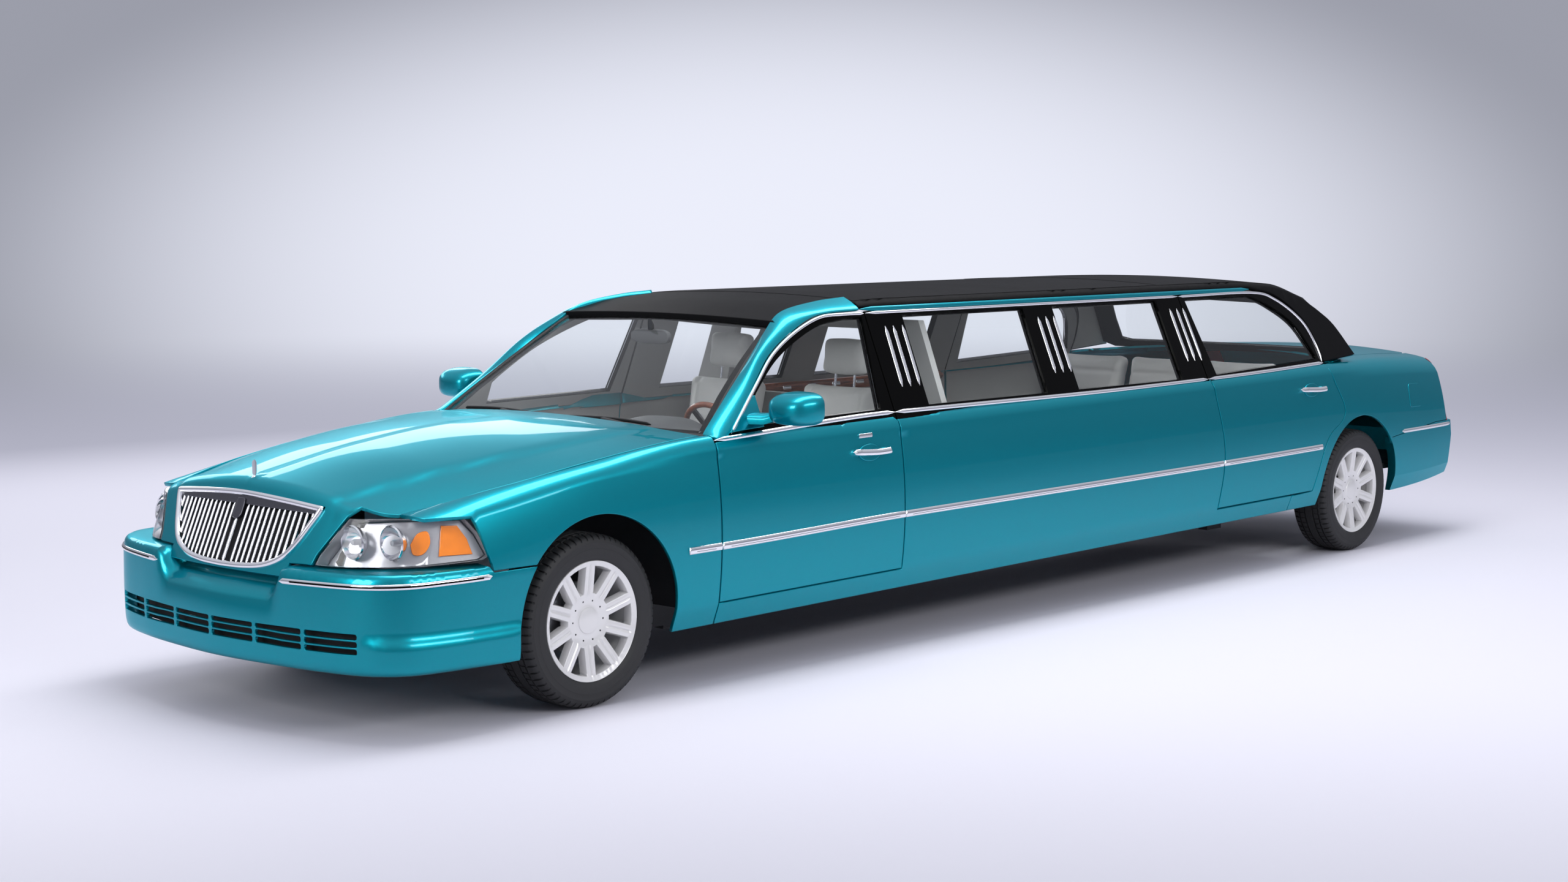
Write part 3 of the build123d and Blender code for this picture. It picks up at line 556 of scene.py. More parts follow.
def merge_sheets(name, sheets, materials):
    """One object from sheets, with the normals of the form."""
    points, normal, polygons, finish, first = [], [], [], [], 0
    for some_points, some_normals, some_polygons, some_finish in sheets:
        points.append(some_points)
        normal.append(some_normals)
        polygons += [tuple(int(i) + first for i in p) for p in some_polygons]
        finish += some_finish
        first += len(some_points)
    mesh = bpy.data.meshes.new(name)
    mesh.from_pydata(np.concatenate(points).tolist(), [], polygons)
    for material in materials:
        mesh.materials.append(material)
    mesh.polygons.foreach_set("material_index", finish)
    mesh.polygons.foreach_set("use_smooth", [True] * len(mesh.polygons))
    mesh.update()
    mesh.normals_split_custom_set_from_vertices(unit(np.concatenate(normal)).tolist())
    return linked(name, mesh)


print("sheet tools ready")

# %% [markdown]
# ## Finishes
#
# Real surfaces are never one flat value. Two small node groups carry what many finishes share: a drifting
# tone and a fine grain. Each finish gives them its own scale and strength, so one edit to a group reaches
# every material that uses it.

# %% Shared effects
def effect_group(name, inputs, outputs):
    """An empty shader node group with named sockets."""
    group = bpy.data.node_groups.new(name, "ShaderNodeTree")
    for label, kind, default in inputs:
        socket = group.interface.new_socket(label, in_out="INPUT", socket_type=kind)
        if default is not None:
            socket.default_value = default
    for label, kind in outputs:
        group.interface.new_socket(label, in_out="OUTPUT", socket_type=kind)
    return group, group.nodes.new("NodeGroupInput"), group.nodes.new("NodeGroupOutput")


COLOUR, NUMBER, VECTOR = "NodeSocketColor", "NodeSocketFloat", "NodeSocketVector"

tone_group, come, go = effect_group(
    "drifting_tone",
    [("Vector", VECTOR, None), ("Colour", COLOUR, (0.5, 0.5, 0.5, 1)), ("Scale", NUMBER, 3.0),
     ("Amount", NUMBER, 0.1), ("Roughness", NUMBER, 0.4)],
    [("Colour", COLOUR), ("Roughness", NUMBER)],
)
cloud = node(tone_group, "ShaderNodeTexNoise", Detail=5.0)
shade = node(tone_group, "ShaderNodeMapRange")
lift = node(tone_group, "ShaderNodeMath", operation="SUBTRACT")
rise = node(tone_group, "ShaderNodeMath", operation="ADD")
for sum_node in (lift, rise):
    sum_node.inputs[0].default_value = 1.0
tint = node(tone_group, "ShaderNodeHueSaturation")
rough = node(tone_group, "ShaderNodeMath", operation="MULTIPLY")
wire(
    tone_group,
    (come.outputs["Vector"], cloud.inputs["Vector"]),
    (come.outputs["Scale"], cloud.inputs["Scale"]),
    (come.outputs["Amount"], lift.inputs[1]),
    (come.outputs["Amount"], rise.inputs[1]),
    (cloud.outputs["Fac"], shade.inputs["Value"]),
    (lift.outputs[0], shade.inputs["To Min"]),
    (rise.outputs[0], shade.inputs["To Max"]),
    (shade.outputs[0], tint.inputs["Value"]),
    (come.outputs["Colour"], tint.inputs["Color"]),
    (tint.outputs[0], go.inputs["Colour"]),
    (shade.outputs[0], rough.inputs[0]),
    (come.outputs["Roughness"], rough.inputs[1]),
    (rough.outputs[0], go.inputs["Roughness"]),
)

grain_group, come, go = effect_group(
    "fine_grain",
    [("Vector", VECTOR, None), ("Scale", NUMBER, 300.0), ("Pebble", NUMBER, 0.5)],
    [("Height", NUMBER)],
)
cells = node(grain_group, "ShaderNodeTexVoronoi", feature="DISTANCE_TO_EDGE")
speck = node(grain_group, "ShaderNodeTexNoise", Detail=3.0)
blend = node(grain_group, "ShaderNodeMix", data_type="FLOAT")
wire(
    grain_group,
    (come.outputs["Vector"], cells.inputs["Vector"]),
    (come.outputs["Scale"], cells.inputs["Scale"]),
    (come.outputs["Vector"], speck.inputs["Vector"]),
    (come.outputs["Scale"], speck.inputs["Scale"]),
    (come.outputs["Pebble"], blend.inputs["Factor"]),
    (speck.outputs["Fac"], blend.inputs["A"]),
    (cells.outputs["Distance"], blend.inputs["B"]),
    (blend.outputs["Result"], go.inputs["Height"]),
)


def drifting(tree, place, colour, roughness, scale, amount):
    """The drifting tone, set up in a material."""
    drift = node(tree, "ShaderNodeGroup")
    drift.node_tree = tone_group
    set_inputs(drift, Colour=(*colour, 1), Scale=scale, Amount=amount, Roughness=roughness)
    wire(tree, (place.outputs["Object"], drift.inputs["Vector"]))
    return drift


def finish(name, colour, roughness, metallic=0.0, tone=(3.0, 0.06), grain=None, **sockets):
    """A material from the shared effects. grain is (scale, pebble, height); further sockets go by name."""
    material, tree, shader = new_material(name)
    place = node(tree, "ShaderNodeTexCoord")
    drift = drifting(tree, place, colour, roughness, *tone)
    wire(
        tree,
        (drift.outputs["Colour"], shader.inputs["Base Color"]),
        (drift.outputs["Roughness"], shader.inputs["Roughness"]),
    )
    if grain:
        fine = node(tree, "ShaderNodeGroup")
        fine.node_tree = grain_group
        set_inputs(fine, Scale=grain[0], Pebble=grain[1])
        bump = node(tree, "ShaderNodeBump", Distance=grain[2], Strength=1.0)
        wire(
            tree,
            (place.outputs["Object"], fine.inputs["Vector"]),
            (fine.outputs["Height"], bump.inputs["Height"]),
            (bump.outputs["Normal"], shader.inputs["Normal"]),
        )
    set_inputs(shader, Metallic=metallic, **sockets)
    return material


print("shared effects:", len(bpy.data.node_groups), "groups")

# %% [markdown]
# ## Paint with flake
#
# The body colour is a deep metallic teal under clear lacquer. Flake is thousands of tiny mirrors, each tilted
# its own way, so a very fine cell pattern moves the shade a little, and the lacquer is a coat on top.

# %% Body paint
body_paint, tree, shader = new_material("teal_metallic")
place = node(tree, "ShaderNodeTexCoord")
flake = node(tree, "ShaderNodeTexVoronoi", Scale=2600.0)
shades = node(tree, "ShaderNodeValToRGB")
shades.color_ramp.elements[0].color = (0.000, 0.205, 0.265, 1)
shades.color_ramp.elements[1].color = (0.001, 0.335, 0.410, 1)
spark = node(tree, "ShaderNodeMapRange", To_Min=0.26, To_Max=0.40)
wire(
    tree,
    (place.outputs["Object"], flake.inputs["Vector"]),
    (flake.outputs["Color"], shades.inputs["Fac"]),
    (shades.outputs["Color"], shader.inputs["Base Color"]),
    (flake.outputs["Color"], spark.inputs["Value"]),
    (spark.outputs["Result"], shader.inputs["Roughness"]),
)
set_inputs(shader, Metallic=0.90, Specular_Tint=(0.35, 0.85, 0.95, 1))
set_inputs(shader, Coat_Weight=0.40, Coat_Roughness=0.03, Coat_IOR=1.5)
print("paint:", body_paint.name)

# %% [markdown]
# ## Metals, vinyl, leather and plastic
#
# Every other opaque finish is one call: its colour and roughness, how much the tone drifts, and how deep the
# grain is. Vinyl and leather have a pebbled grain, rubber and cast metal a fine speckle.

# %% Plain finishes
chrome = finish("bright_chrome", (0.86, 0.86, 0.88), 0.07, 1.0, tone=(9.0, 0.03))
dark_chrome = finish("dark_chrome", (0.10, 0.10, 0.115), 0.22, 0.9, tone=(9.0, 0.05))
black_gloss = finish("black_gloss", (0.001, 0.001, 0.001), 0.16, tone=(4.0, 0.08), Specular_IOR_Level=0.04)
black_rubber = finish("black_rubber", (0.012, 0.012, 0.013), 0.55, tone=(12.0, 0.15),
                      grain=(900.0, 0.3, 0.0003))
roof_vinyl = finish("black_vinyl", (0.004, 0.004, 0.0045), 0.55, tone=(2.2, 0.10),
                    grain=(420.0, 0.65, 0.0008), Specular_IOR_Level=0.05)
tyre_rubber = finish("tyre_rubber", (0.013, 0.013, 0.014), 0.62, tone=(7.0, 0.18), grain=(520.0, 0.2, 0.0004))
wheel_paint = finish("white_silver", (0.74, 0.73, 0.72), 0.30, 0.25, tone=(6.0, 0.03), Coat_Weight=0.5)
bare_metal = finish("machined_metal", (0.44, 0.45, 0.47), 0.32, 1.0, tone=(20.0, 0.10),
                    grain=(260.0, 0.1, 0.0002))
chassis_black = finish("chassis_black", (0.020, 0.020, 0.022), 0.60, 0.1, tone=(5.0, 0.30),
                       grain=(160.0, 0.2, 0.0008))
liner_black = finish("liner_black", (0.006, 0.006, 0.007), 0.85, tone=(5.0, 0.20), grain=(300.0, 0.2, 0.0006))
leather = finish("grey_leather", (0.560, 0.552, 0.545), 0.46, tone=(5.0, 0.07), grain=(330.0, 0.75, 0.0007),
                 Sheen_Weight=0.08)
trim_grey = finish("grey_trim", (0.330, 0.326, 0.320), 0.62, tone=(4.0, 0.07), grain=(420.0, 0.6, 0.0005))
dark_plastic = finish("dash_plastic", (0.030, 0.031, 0.034), 0.50, tone=(5.0, 0.10),
                      grain=(520.0, 0.6, 0.0005))
carpet = finish("carpet", (0.060, 0.060, 0.064), 0.95, tone=(14.0, 0.25), grain=(700.0, 0.0, 0.002),
                Sheen_Weight=0.3)
headliner = finish("headliner", (0.42, 0.415, 0.405), 0.90, tone=(8.0, 0.05), grain=(800.0, 0.0, 0.0006))
amber = finish("amber_lens", (0.85, 0.22, 0.01), 0.12, tone=(30.0, 0.10), Coat_Weight=1.0)
red_lens = finish("red_lens", (0.36, 0.004, 0.006), 0.10, tone=(30.0, 0.12), Coat_Weight=1.0)
reflector = finish("lamp_reflector", (0.80, 0.80, 0.82), 0.12, 1.0, tone=(22.0, 0.05))
lamp_grey = finish("lamp_housing", (0.42, 0.42, 0.44), 0.30, 0.6, tone=(10.0, 0.06))
print("plain finishes ready")

# %% [markdown]
# ## Glass and wood
#
# A pane bends light a little at each side. A lamp's shadow passes straight through it, as it does through
# real thin glass, so the cabin behind is lit. The wood has a long grain from noise that is stretched one
# way.

# %% Glass and wood
def clear_glass(name, tint):
    """Clear glass with a faint tint."""
    material, tree, shader = new_material(name)
    place = node(tree, "ShaderNodeTexCoord")
    drift = drifting(tree, place, tint, 0.4, 1.5, 0.015)
    set_inputs(shader, Roughness=0.0, Transmission_Weight=1.0, IOR=1.22)
    rays = node(tree, "ShaderNodeLightPath")
    through = node(tree, "ShaderNodeBsdfTransparent", Color=(0.92, 0.94, 0.94, 1))
    mixed = node(tree, "ShaderNodeMixShader")
    wire(
        tree,
        (drift.outputs["Colour"], shader.inputs["Base Color"]),
        (rays.outputs["Is Shadow Ray"], mixed.inputs[0]),
        (shader.outputs[0], mixed.inputs[1]),
        (through.outputs[0], mixed.inputs[2]),
        (mixed.outputs[0], tree.nodes["Material Output"].inputs["Surface"]),
    )
    return material


window_glass = clear_glass("window_glass", (0.95, 0.97, 0.97))
lamp_glass = clear_glass("lamp_glass", (0.97, 0.97, 0.98))

wood, tree, shader = new_material("polished_wood")
place = node(tree, "ShaderNodeTexCoord")
stretch = node(tree, "ShaderNodeMapping")
stretch.inputs["Scale"].default_value = (2.0, 22.0, 30.0)
grainy = node(tree, "ShaderNodeTexNoise", Scale=3.0, Detail=8.0, Distortion=1.2)
browns = node(tree, "ShaderNodeValToRGB")
browns.color_ramp.elements[0].position = 0.35
browns.color_ramp.elements[0].color = (0.055, 0.012, 0.004, 1)
browns.color_ramp.elements[1].position = 0.68
browns.color_ramp.elements[1].color = (0.235, 0.062, 0.020, 1)
wire(
    tree,
    (place.outputs["Object"], stretch.inputs["Vector"]),
    (stretch.outputs["Vector"], grainy.inputs["Vector"]),
    (grainy.outputs["Fac"], browns.inputs["Fac"]),
    (browns.outputs["Color"], shader.inputs["Base Color"]),
)
set_inputs(shader, Roughness=0.30, Coat_Weight=0.8, Coat_Roughness=0.05)
print(len(bpy.data.materials), "finishes")

# %% [markdown]
# ## Placing a piece
#
# A new piece rides on one body of the frame, so it moves with that body's joint. It names the fixed parts it
# stands for, which are hidden.

# %% Where each new piece goes
def place_piece(obj, body, slot, *stands_for):
    """Ride on a body and stand for CAD nodes. The slot argument is not used."""
    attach(obj, body)
    if stands_for:
        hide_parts(*stands_for)
    return obj


def sheet_piece(name, sheets, materials, body, slot, *stands_for):
    """Sheets joined to one object, on its body."""
    return place_piece(merge_sheets(name, sheets, materials), body, slot, *stands_for)


def mirror_sheet(sheet):
    """The same sheet for the other side of the car."""
    points, normals, polygons, finish_of = sheet
    return points * (1, -1, 1), normals * (1, -1, 1), [p[::-1] for p in polygons], finish_of


def sided(side, *sheets):
    """Sheets made for the left side, mirrored when side is -1."""
    return [mirror_sheet(sheet) if side < 0 else sheet for sheet in sheets]


SIDES = (("left", 1), ("right", -1))
print("sides:", SIDES)

# %% [markdown]
# ## Side panels
#
# Fenders, doors, the long middle and the rear quarters are all pressed from the same form, each from its own
# outline. Lines given by height follow the side, and lines given by half width follow the top edge of a
# fender. Below the belt the panels are painted; above it the window frames lie on the leaning side plane
# and are gloss black.

# %% Lines on the form
def smooth_line(points, spacing=0.03):
    """A round line through points, as a drawn curve would take them."""
    points = np.array(points, float)
    if len(points) < 3:
        return resample(points, spacing, closed=False)
    padded = np.concatenate([[2 * points[0] - points[1]], points, [2 * points[-1] - points[-2]]])
    result = []
    for i in range(1, len(padded) - 2):
        a, b, c, d = padded[i - 1 : i + 3]
        count = max(1, int(math.ceil(np.linalg.norm(c - b) / spacing)))
        for k in range(count):
            t = k / count
            result.append(
                0.5 * (2 * b + (c - a) * t + (2 * a - 5 * b + 4 * c - d) * t**2
                       + (3 * b - a - 3 * c + d) * t**3)
            )
    result.append(points[-1])
    return np.array(result)


def on_skin(points, axis=2, smooth=False, spacing=0.03):
    """A line on the body form, given by x and height, or by x and half width."""
    line = smooth_line(points, spacing) if smooth else resample(points, spacing, closed=False)
    return np.stack([line[:, 0], skin_height(line[:, 0], line[:, 1], axis)], 1)


def closed_line(*parts):
    """Join lines end to end and drop points that fall together."""
    line = np.concatenate(parts)
    keep = [0]
    for i in range(1, len(line)):
        if np.linalg.norm(line[i] - line[keep[-1]]) > 0.004:
            keep.append(i)
    if np.linalg.norm(line[keep[-1]] - line[0]) < 0.004:
        keep.pop()
    return line[keep]


def arch_line(axle, start, end, count=40, radius=ARCH_RADIUS, height=ARCH_HEIGHT):
    """Points over a wheel arch, from one angle to another in degrees."""
    return [
        (axle + radius * math.cos(math.radians(a)), height + radius * math.sin(math.radians(a)))
        for a in np.linspace(start, end, count)
    ]


def stations(start, end, step, least):
    """Even stations from one x to another."""
    return np.linspace(start, end, max(least, int(abs(end - start) / step)))


def belt_line(start, end):
    """The top edge of a door or side panel, just under the belt."""
    return [(x, float(belt_height(x)[0]) - 0.004) for x in stations(start, end, 0.06, 3)]


def low_line(start, end):
    """The bottom edge of the body between two stations."""
    return [(x, 0.0) for x in stations(start, end, 0.05, 2)]


def open_line(*points):
    """A line of straight runs that stays open."""
    return resample(points, 0.05, closed=False)


print("line tools ready")

# %% [markdown]
# Each outline runs once round its panel, over the wheel arch where there is one, and stops a narrow gap short
# of its neighbour.

# %% Outlines of the painted panels
SEAM = 0.003
front_fender_line = closed_line(
    np.array(low_line(2.408, 2.653)),
    on_skin([(2.653, 0.27), (2.653, 0.358)]),
    on_skin(arch_line(FRONT_AXLE, 180, 38.3)),
    on_skin([(3.433, 0.629), (3.647, 0.629), (3.653, 0.655), (3.722, 0.843), (3.80, 0.845), (3.905, 0.846)]),
    on_skin([(3.925, 0.752), (3.70, 0.818), (3.27, 0.880), (2.80, 0.890), (2.424, 0.896)], axis=1,
            smooth=True),
    on_skin([(2.424, 0.896), (2.408, 0.896)], axis=1),
    on_skin([(2.408, 1.050), (2.408, 0.35)]),
)
front_door_line = closed_line(
    on_skin([(1.208, 0.366), (2.402, 0.354)]),
    on_skin([(2.402, 0.354), (2.402, 1.030)]),
    on_skin(belt_line(2.402, 1.208)),
    on_skin([(1.208, 1.07), (1.208, 0.366)]),
)
REAR_DOOR_FRONT = [(-1.440, 0.389), (-1.474, 0.683), (-1.424, 0.960), (-1.400, 1.084)]
REAR_DOOR_BACK = [(-2.418, 0.399), (-2.546, 0.680), (-2.714, 0.782), (-2.742, 0.860), (-2.660, 1.000),
                  (-2.612, 1.113)]


def shifted(points, x, z=0.0):
    """Points moved along and up."""
    return [(a + x, b + z) for a, b in points]


side_wall_line = closed_line(
    np.array(low_line(-2.200, 2.402)),
    on_skin([(2.402, 0.27), (2.402, 0.348), (1.202, 0.360), (1.202, 1.07)]),
    on_skin(belt_line(1.202, -1.397)),
    on_skin(shifted(REAR_DOOR_FRONT, SEAM)[::-1], smooth=True),
    on_skin([(-1.437, 0.384), (-2.200, 0.391), (-2.200, 0.32)]),
)
rear_door_line = closed_line(
    on_skin(shifted(REAR_DOOR_FRONT, -SEAM, 0.002), smooth=True),
    on_skin(belt_line(-1.403, -2.609)),
    on_skin(shifted(REAR_DOOR_BACK, SEAM)[::-1], smooth=True),
    on_skin([(-2.415, 0.401), (-1.443, 0.392)]),
)
rear_quarter_line = closed_line(
    np.array(low_line(-2.203, -2.513)),
    on_skin([(-2.513, 0.33), (-2.513, 0.358)]),
    on_skin(arch_line(REAR_AXLE, 0, 145.5)),
    on_skin([(-3.310, 0.606), (-3.310, 0.643), (-3.400, 0.651), (-3.900, 0.693), (-4.057, 0.693),
             (-3.985, 1.075)]),
    on_skin([(-4.020, 0.660), (-3.90, 0.693), (-3.24, 0.738), (-3.0, 0.800), (-2.75, 0.880)], axis=1),
    on_skin([(-2.608, 1.106)] + shifted(REAR_DOOR_BACK, -SEAM)[::-1][1:], smooth=True),
    on_skin([(-2.421, 0.396), (-2.203, 0.388)]),
)
print("painted panels drawn; a door outline has", len(front_door_line), "points")

# %% [markdown]
# The window frames and their openings are drawn on the leaning side plane, by x and height.

# %% Outlines of the window frames
FRONT_FRAME = [(2.36, 1.046), (2.283, 1.066), (2.060, 1.249), (1.905, 1.371), (1.715, 1.461), (1.521, 1.521),
               (1.400, 1.531)]
FRONT_WINDOW = [(1.330, 1.508), (1.515, 1.486), (1.702, 1.427), (1.886, 1.342), (2.036, 1.238),
                (2.098, 1.186)]
front_frame_line = closed_line(
    open_line((1.208, 1.048), (2.36, 1.020)),
    smooth_line(FRONT_FRAME),
    open_line((1.400, 1.531), (1.208, 1.531), (1.208, 1.048)),
)
front_window_line = closed_line(
    open_line((1.296, 1.098), (1.232, 1.508), (1.330, 1.508)),
    smooth_line(FRONT_WINDOW),
    open_line((2.098, 1.186), (2.098, 1.084), (1.296, 1.098)),
)
REAR_FRAME = [(-2.100, 1.531), (-2.331, 1.484), (-2.527, 1.361), (-2.595, 1.233), (-2.606, 1.090)]
REAR_WINDOW = [(-2.070, 1.508), (-2.241, 1.450), (-2.441, 1.334), (-2.563, 1.140)]
rear_frame_line = closed_line(
    open_line((-1.405, 1.050), (-1.373, 1.531), (-2.100, 1.531)),
    smooth_line(REAR_FRAME),
    open_line((-2.606, 1.090), (-1.405, 1.050)),
)
rear_window_line = closed_line(
    open_line((-1.495, 1.106), (-1.423, 1.508), (-2.070, 1.508)),
    smooth_line(REAR_WINDOW),
    open_line((-2.563, 1.140), (-1.495, 1.106)),
)
wall_frame_line = resample([(1.202, 1.048), (1.202, 1.534), (-1.367, 1.534), (-1.397, 1.048)], 0.06)
stretch_window_lines = [
    resample([(0.944, 1.508), (0.013, 1.508), (0.025, 1.099), (0.948, 1.099)], 0.06),
    resample([(-0.228, 1.508), (-1.152, 1.508), (-1.167, 1.100), (-0.237, 1.100)], 0.06),
]
print(len(stretch_window_lines), "stretch windows drawn")

# %% [markdown]
# Each panel is pressed once per side. A door is thick and closed at the back, and its window frame is a
# second sheet on the leaning side plane. Both belong to one object, so they swing together.

# %% Press and place the side panels
door_materials = [body_paint, trim_grey, body_paint, black_gloss, trim_grey, black_gloss]


def skin_panel(line, side, depth=0.016, spacing=0.045, slots=(0, 0, 0)):
    """A painted panel on the body form."""
    return press(body_skin, line, depth=depth, spacing=spacing, side=side, slots=slots)


def frame_panel(line, holes, side, depth=0.038):
    """A gloss black window frame on the leaning side plane."""
    return press(house_side, line, holes, depth, 0.09, 0.002, side, (3, 4, 3))


for side_name, side in SIDES:
    wall = f"side_wall_{side_name}"
    front_door, rear_door = f"front_door_{side_name}", f"rear_door_{side_name}"
    panels = [
        ("fender", [skin_panel(front_fender_line, side)], "body", f"front_fender_{side_name}"),
        ("wall", [
            skin_panel(side_wall_line, side, 0.055, 0.055, (0, 1, 0)),
            frame_panel(wall_frame_line, stretch_window_lines, side, 0.04),
        ], "body", wall),
        ("front_door", [
            skin_panel(front_door_line, side, 0.060, slots=(0, 1, 0)),
            frame_panel(front_frame_line, [front_window_line], side),
        ], front_door, front_door),
        ("rear_door", [
            skin_panel(rear_door_line, side, 0.060, slots=(0, 1, 0)),
            frame_panel(rear_frame_line, [rear_window_line], side),
        ], rear_door, rear_door),
        ("quarter", [skin_panel(rear_quarter_line, side)], "body", f"rear_quarter_{side_name}"),
    ]
    for kind, sheets, body, replaced in panels:
        made = sheet_piece(f"{kind}_skin_{side_name}", sheets, door_materials, body, "body_paint", replaced)
        print(made.name, len(made.data.polygons), "faces")

# %% [markdown]
# ## Sheets from a grid, and bars along a line
#
# Where a panel has four plain sides, a grid of points on its form is enough. Chrome strips are the same idea
# in one direction: a small rounded section carried along a line, always square to the surface under it.

# %% Grid sheets and strips
def grid_sheet(surface, us, vs, depth=0.012, slots=(0, 0, 0), flip=False):
    """A closed sheet over a form from a grid of u and v values. flip turns the skin to the other side."""
    rows, columns = len(us), len(vs)
    uv = np.array([(u, v) for u in us for v in vs], float)
    top, normal = surface(uv), surface_normals(surface, uv)
    if flip:
        normal = -normal
    points, normals = [top, top - normal * depth], [normal, -normal]
    polygons, finish_of = [], []
    count = rows * columns
    for i in range(rows - 1):
        for j in range(columns - 1):
            quad = (i * columns + j, (i + 1) * columns + j, (i + 1) * columns + j + 1, i * columns + j + 1)
            if flip:
                quad = quad[::-1]
            polygons += [quad, tuple(k + count for k in quad[::-1])]
            finish_of += [slots[0], slots[1]]
    loop = list(range(columns)) + [i * columns + columns - 1 for i in range(1, rows)]
    loop += [(rows - 1) * columns + j for j in range(columns - 2, -1, -1)]
    loop += [i * columns for i in range(rows - 2, 0, -1)]
    rim = top[loop]
    out = np.cross(around(rim), normal[loop]) * (1 if flip else -1)
    out = -out if np.sum(out * (rim - rim.mean(0))) < 0 else out
    points += [rim, rim - normal[loop] * depth]
    normals += [normal[loop] * 0.45 + out * 0.55, out]
    a, b, size = 2 * count, 2 * count + len(loop), len(loop)
    for i in range(size):
        j = (i + 1) % size
        quads = [
            (loop[i], loop[j], a + j, a + i), (a + i, a + j, b + j, b + i),
            (b + i, b + j, loop[j] + count, loop[i] + count),
        ]
        for quad in quads:
            polygons.append(quad[::-1] if flip else quad)
            finish_of.append(slots[2])
    return np.concatenate(points), np.concatenate(normals), polygons, finish_of


def strip(path, ups, half_width, height, round_ends=True, sides=8, closed=False, sink=0.002):
    """A rounded bar along a path: ups are the surface normals under it. Returns a sheet."""
    path = np.asarray(path, float)
    ups = unit(np.asarray(ups, float))
    along = around(path) if closed else unit(np.gradient(path, axis=0))
    across = unit(np.cross(along, ups))
    angles = np.linspace(0, math.pi, sides)
    section = [(math.cos(a), math.sin(a) ** 0.7 if 0 < a < math.pi else 0.0) for a in angles]
    widths = np.full(len(path), 1.0)
    if round_ends and not closed:
        gone = np.concatenate([[0], np.cumsum(np.linalg.norm(np.diff(path, axis=0), axis=1))])
        near = np.minimum(gone, gone[-1] - gone)
        widths = np.sqrt(np.clip(1 - (1 - np.clip(near / half_width, 0, 1)) ** 2, 0.02, 1))
    points, normals = [], []
    for p, up, side_way, w in zip(path, ups, across, widths):
        for cx, cy in section:
            points.append(p + side_way * (cx * half_width * w) + up * (cy * height * w))
            n = side_way * cx / half_width + up * max(cy, 0.05) / height
            normals.append(n / np.linalg.norm(n))
        for cx in (-1, 1):
            points.append(p + side_way * (cx * half_width * w) - up * sink)
            normals.append(side_way * cx)
    ring = sides + 2
    polygons = []
    count = len(path)
    for i in range(count if closed else count - 1):
        j = (i + 1) % count
        for k in range(ring):
            m = (k + 1) % ring
            polygons.append((i * ring + k, j * ring + k, j * ring + m, i * ring + m))
    if not closed:
        polygons.append(tuple(range(ring)))
        polygons.append(tuple((count - 1) * ring + k for k in range(ring - 1, -1, -1)))
    points, normals = np.array(points), np.array(normals)
    a, b, c = points[list(polygons[2][:3])]
    if np.dot(np.cross(b - a, c - a), ups[0]) < 0:
        polygons = [p[::-1] for p in polygons]
    return points, normals, polygons, [0] * len(polygons)


def strip_on(surface, line, half_width, height, lift=0.0, **more):
    """A rounded bar that lies on a form along a line of its own coordinates."""
    line = np.asarray(line, float)
    points, normals = surface(line), surface_normals(surface, line)
    axis = points * (1, 0, 0) + (0, 0, 0.7)
    normals = normals * (np.sign(np.sum(normals * (points - axis))) or 1.0)
    return strip(points + normals * lift, normals, half_width, height, **more)


def steady_strip(path, up, half_width, height, **more):
    """A rounded bar whose top faces one way all along."""
    return strip(path, np.tile(up, (len(path), 1)), half_width, height, **more)


def with_slot(sheet, slot):
    """The same sheet, all in one finish slot."""
    points, normals, polygons, finish_of = sheet
    return points, normals, polygons, [slot] * len(finish_of)


print("grid sheets and strips ready")

# %% [markdown]
# ## The nose
#
# Seen from above the nose is a shallow bow that turns into the fenders on a rounder corner, and it leans
# back with height. One table gives the bow at the height of the bumper's top edge. Hood front, grille and
# headlamps all lie on this surface, measured by the distance round from the middle.

# %% Nose and bumper surfaces
def bow(points, step=0.004):
    """Position and distance along a smooth plan line from the middle to the side."""
    points = np.array(points, float)
    line = smooth_line(np.concatenate([[points[1] * (1, -1)], points]), step)
    start = int(np.argmin(np.abs(line[:, 1])))
    line = line[start:]
    line[0, 1] = 0.0
    gone = np.concatenate([[0], np.cumsum(np.linalg.norm(np.diff(line, axis=0), axis=1))])
    return gone, line


NOSE_BOW = bow([(4.205, 0), (4.193, 0.280), (4.150, 0.570), (4.050, 0.735), (3.903, 0.860), (3.700, 0.945),
                (3.550, 0.972), (3.40, 0.985)])
NOSE_LEAN = 0.427
FACE_BASE = 0.654


def on_bow(plan, w):
    """Position on a plan bow at a distance from the middle."""
    gone, line = plan
    return np.interp(w, gone, line[:, 0]), np.interp(w, gone, line[:, 1])


def signed(value, like):
    """Values given the sign of others, zero counting as plus."""
    return value * np.sign(like + 1e-12)


def nose_skin(uv):
    """The upper nose: uv holds the distance round from the middle and the height."""
    w, z = np.abs(uv[:, 0]), uv[:, 1]
    x, y = on_bow(NOSE_BOW, w)
    fade = np.clip((y - 0.55) / 0.42, 0, 1)
    x = x - (z - FACE_BASE) * NOSE_LEAN * (1 - 0.55 * fade)
    y = y - np.clip(z - FACE_BASE, 0, 1) * 0.14 * fade**2
    return np.stack([x, signed(y, uv[:, 0]), z], 1)


print("nose form ready")

# %% [markdown]
# The hood has a raised middle between two creases and a fine ridge along it. Its top rolls over a radius into
# the leaning face, so top and face are one sheet.

# %% The hood's form
CREASE = smooth_table([2.40, 2.54, 3.06, 4.08, 4.30], [0.650, 0.650, 0.650, 0.50, 0.47])


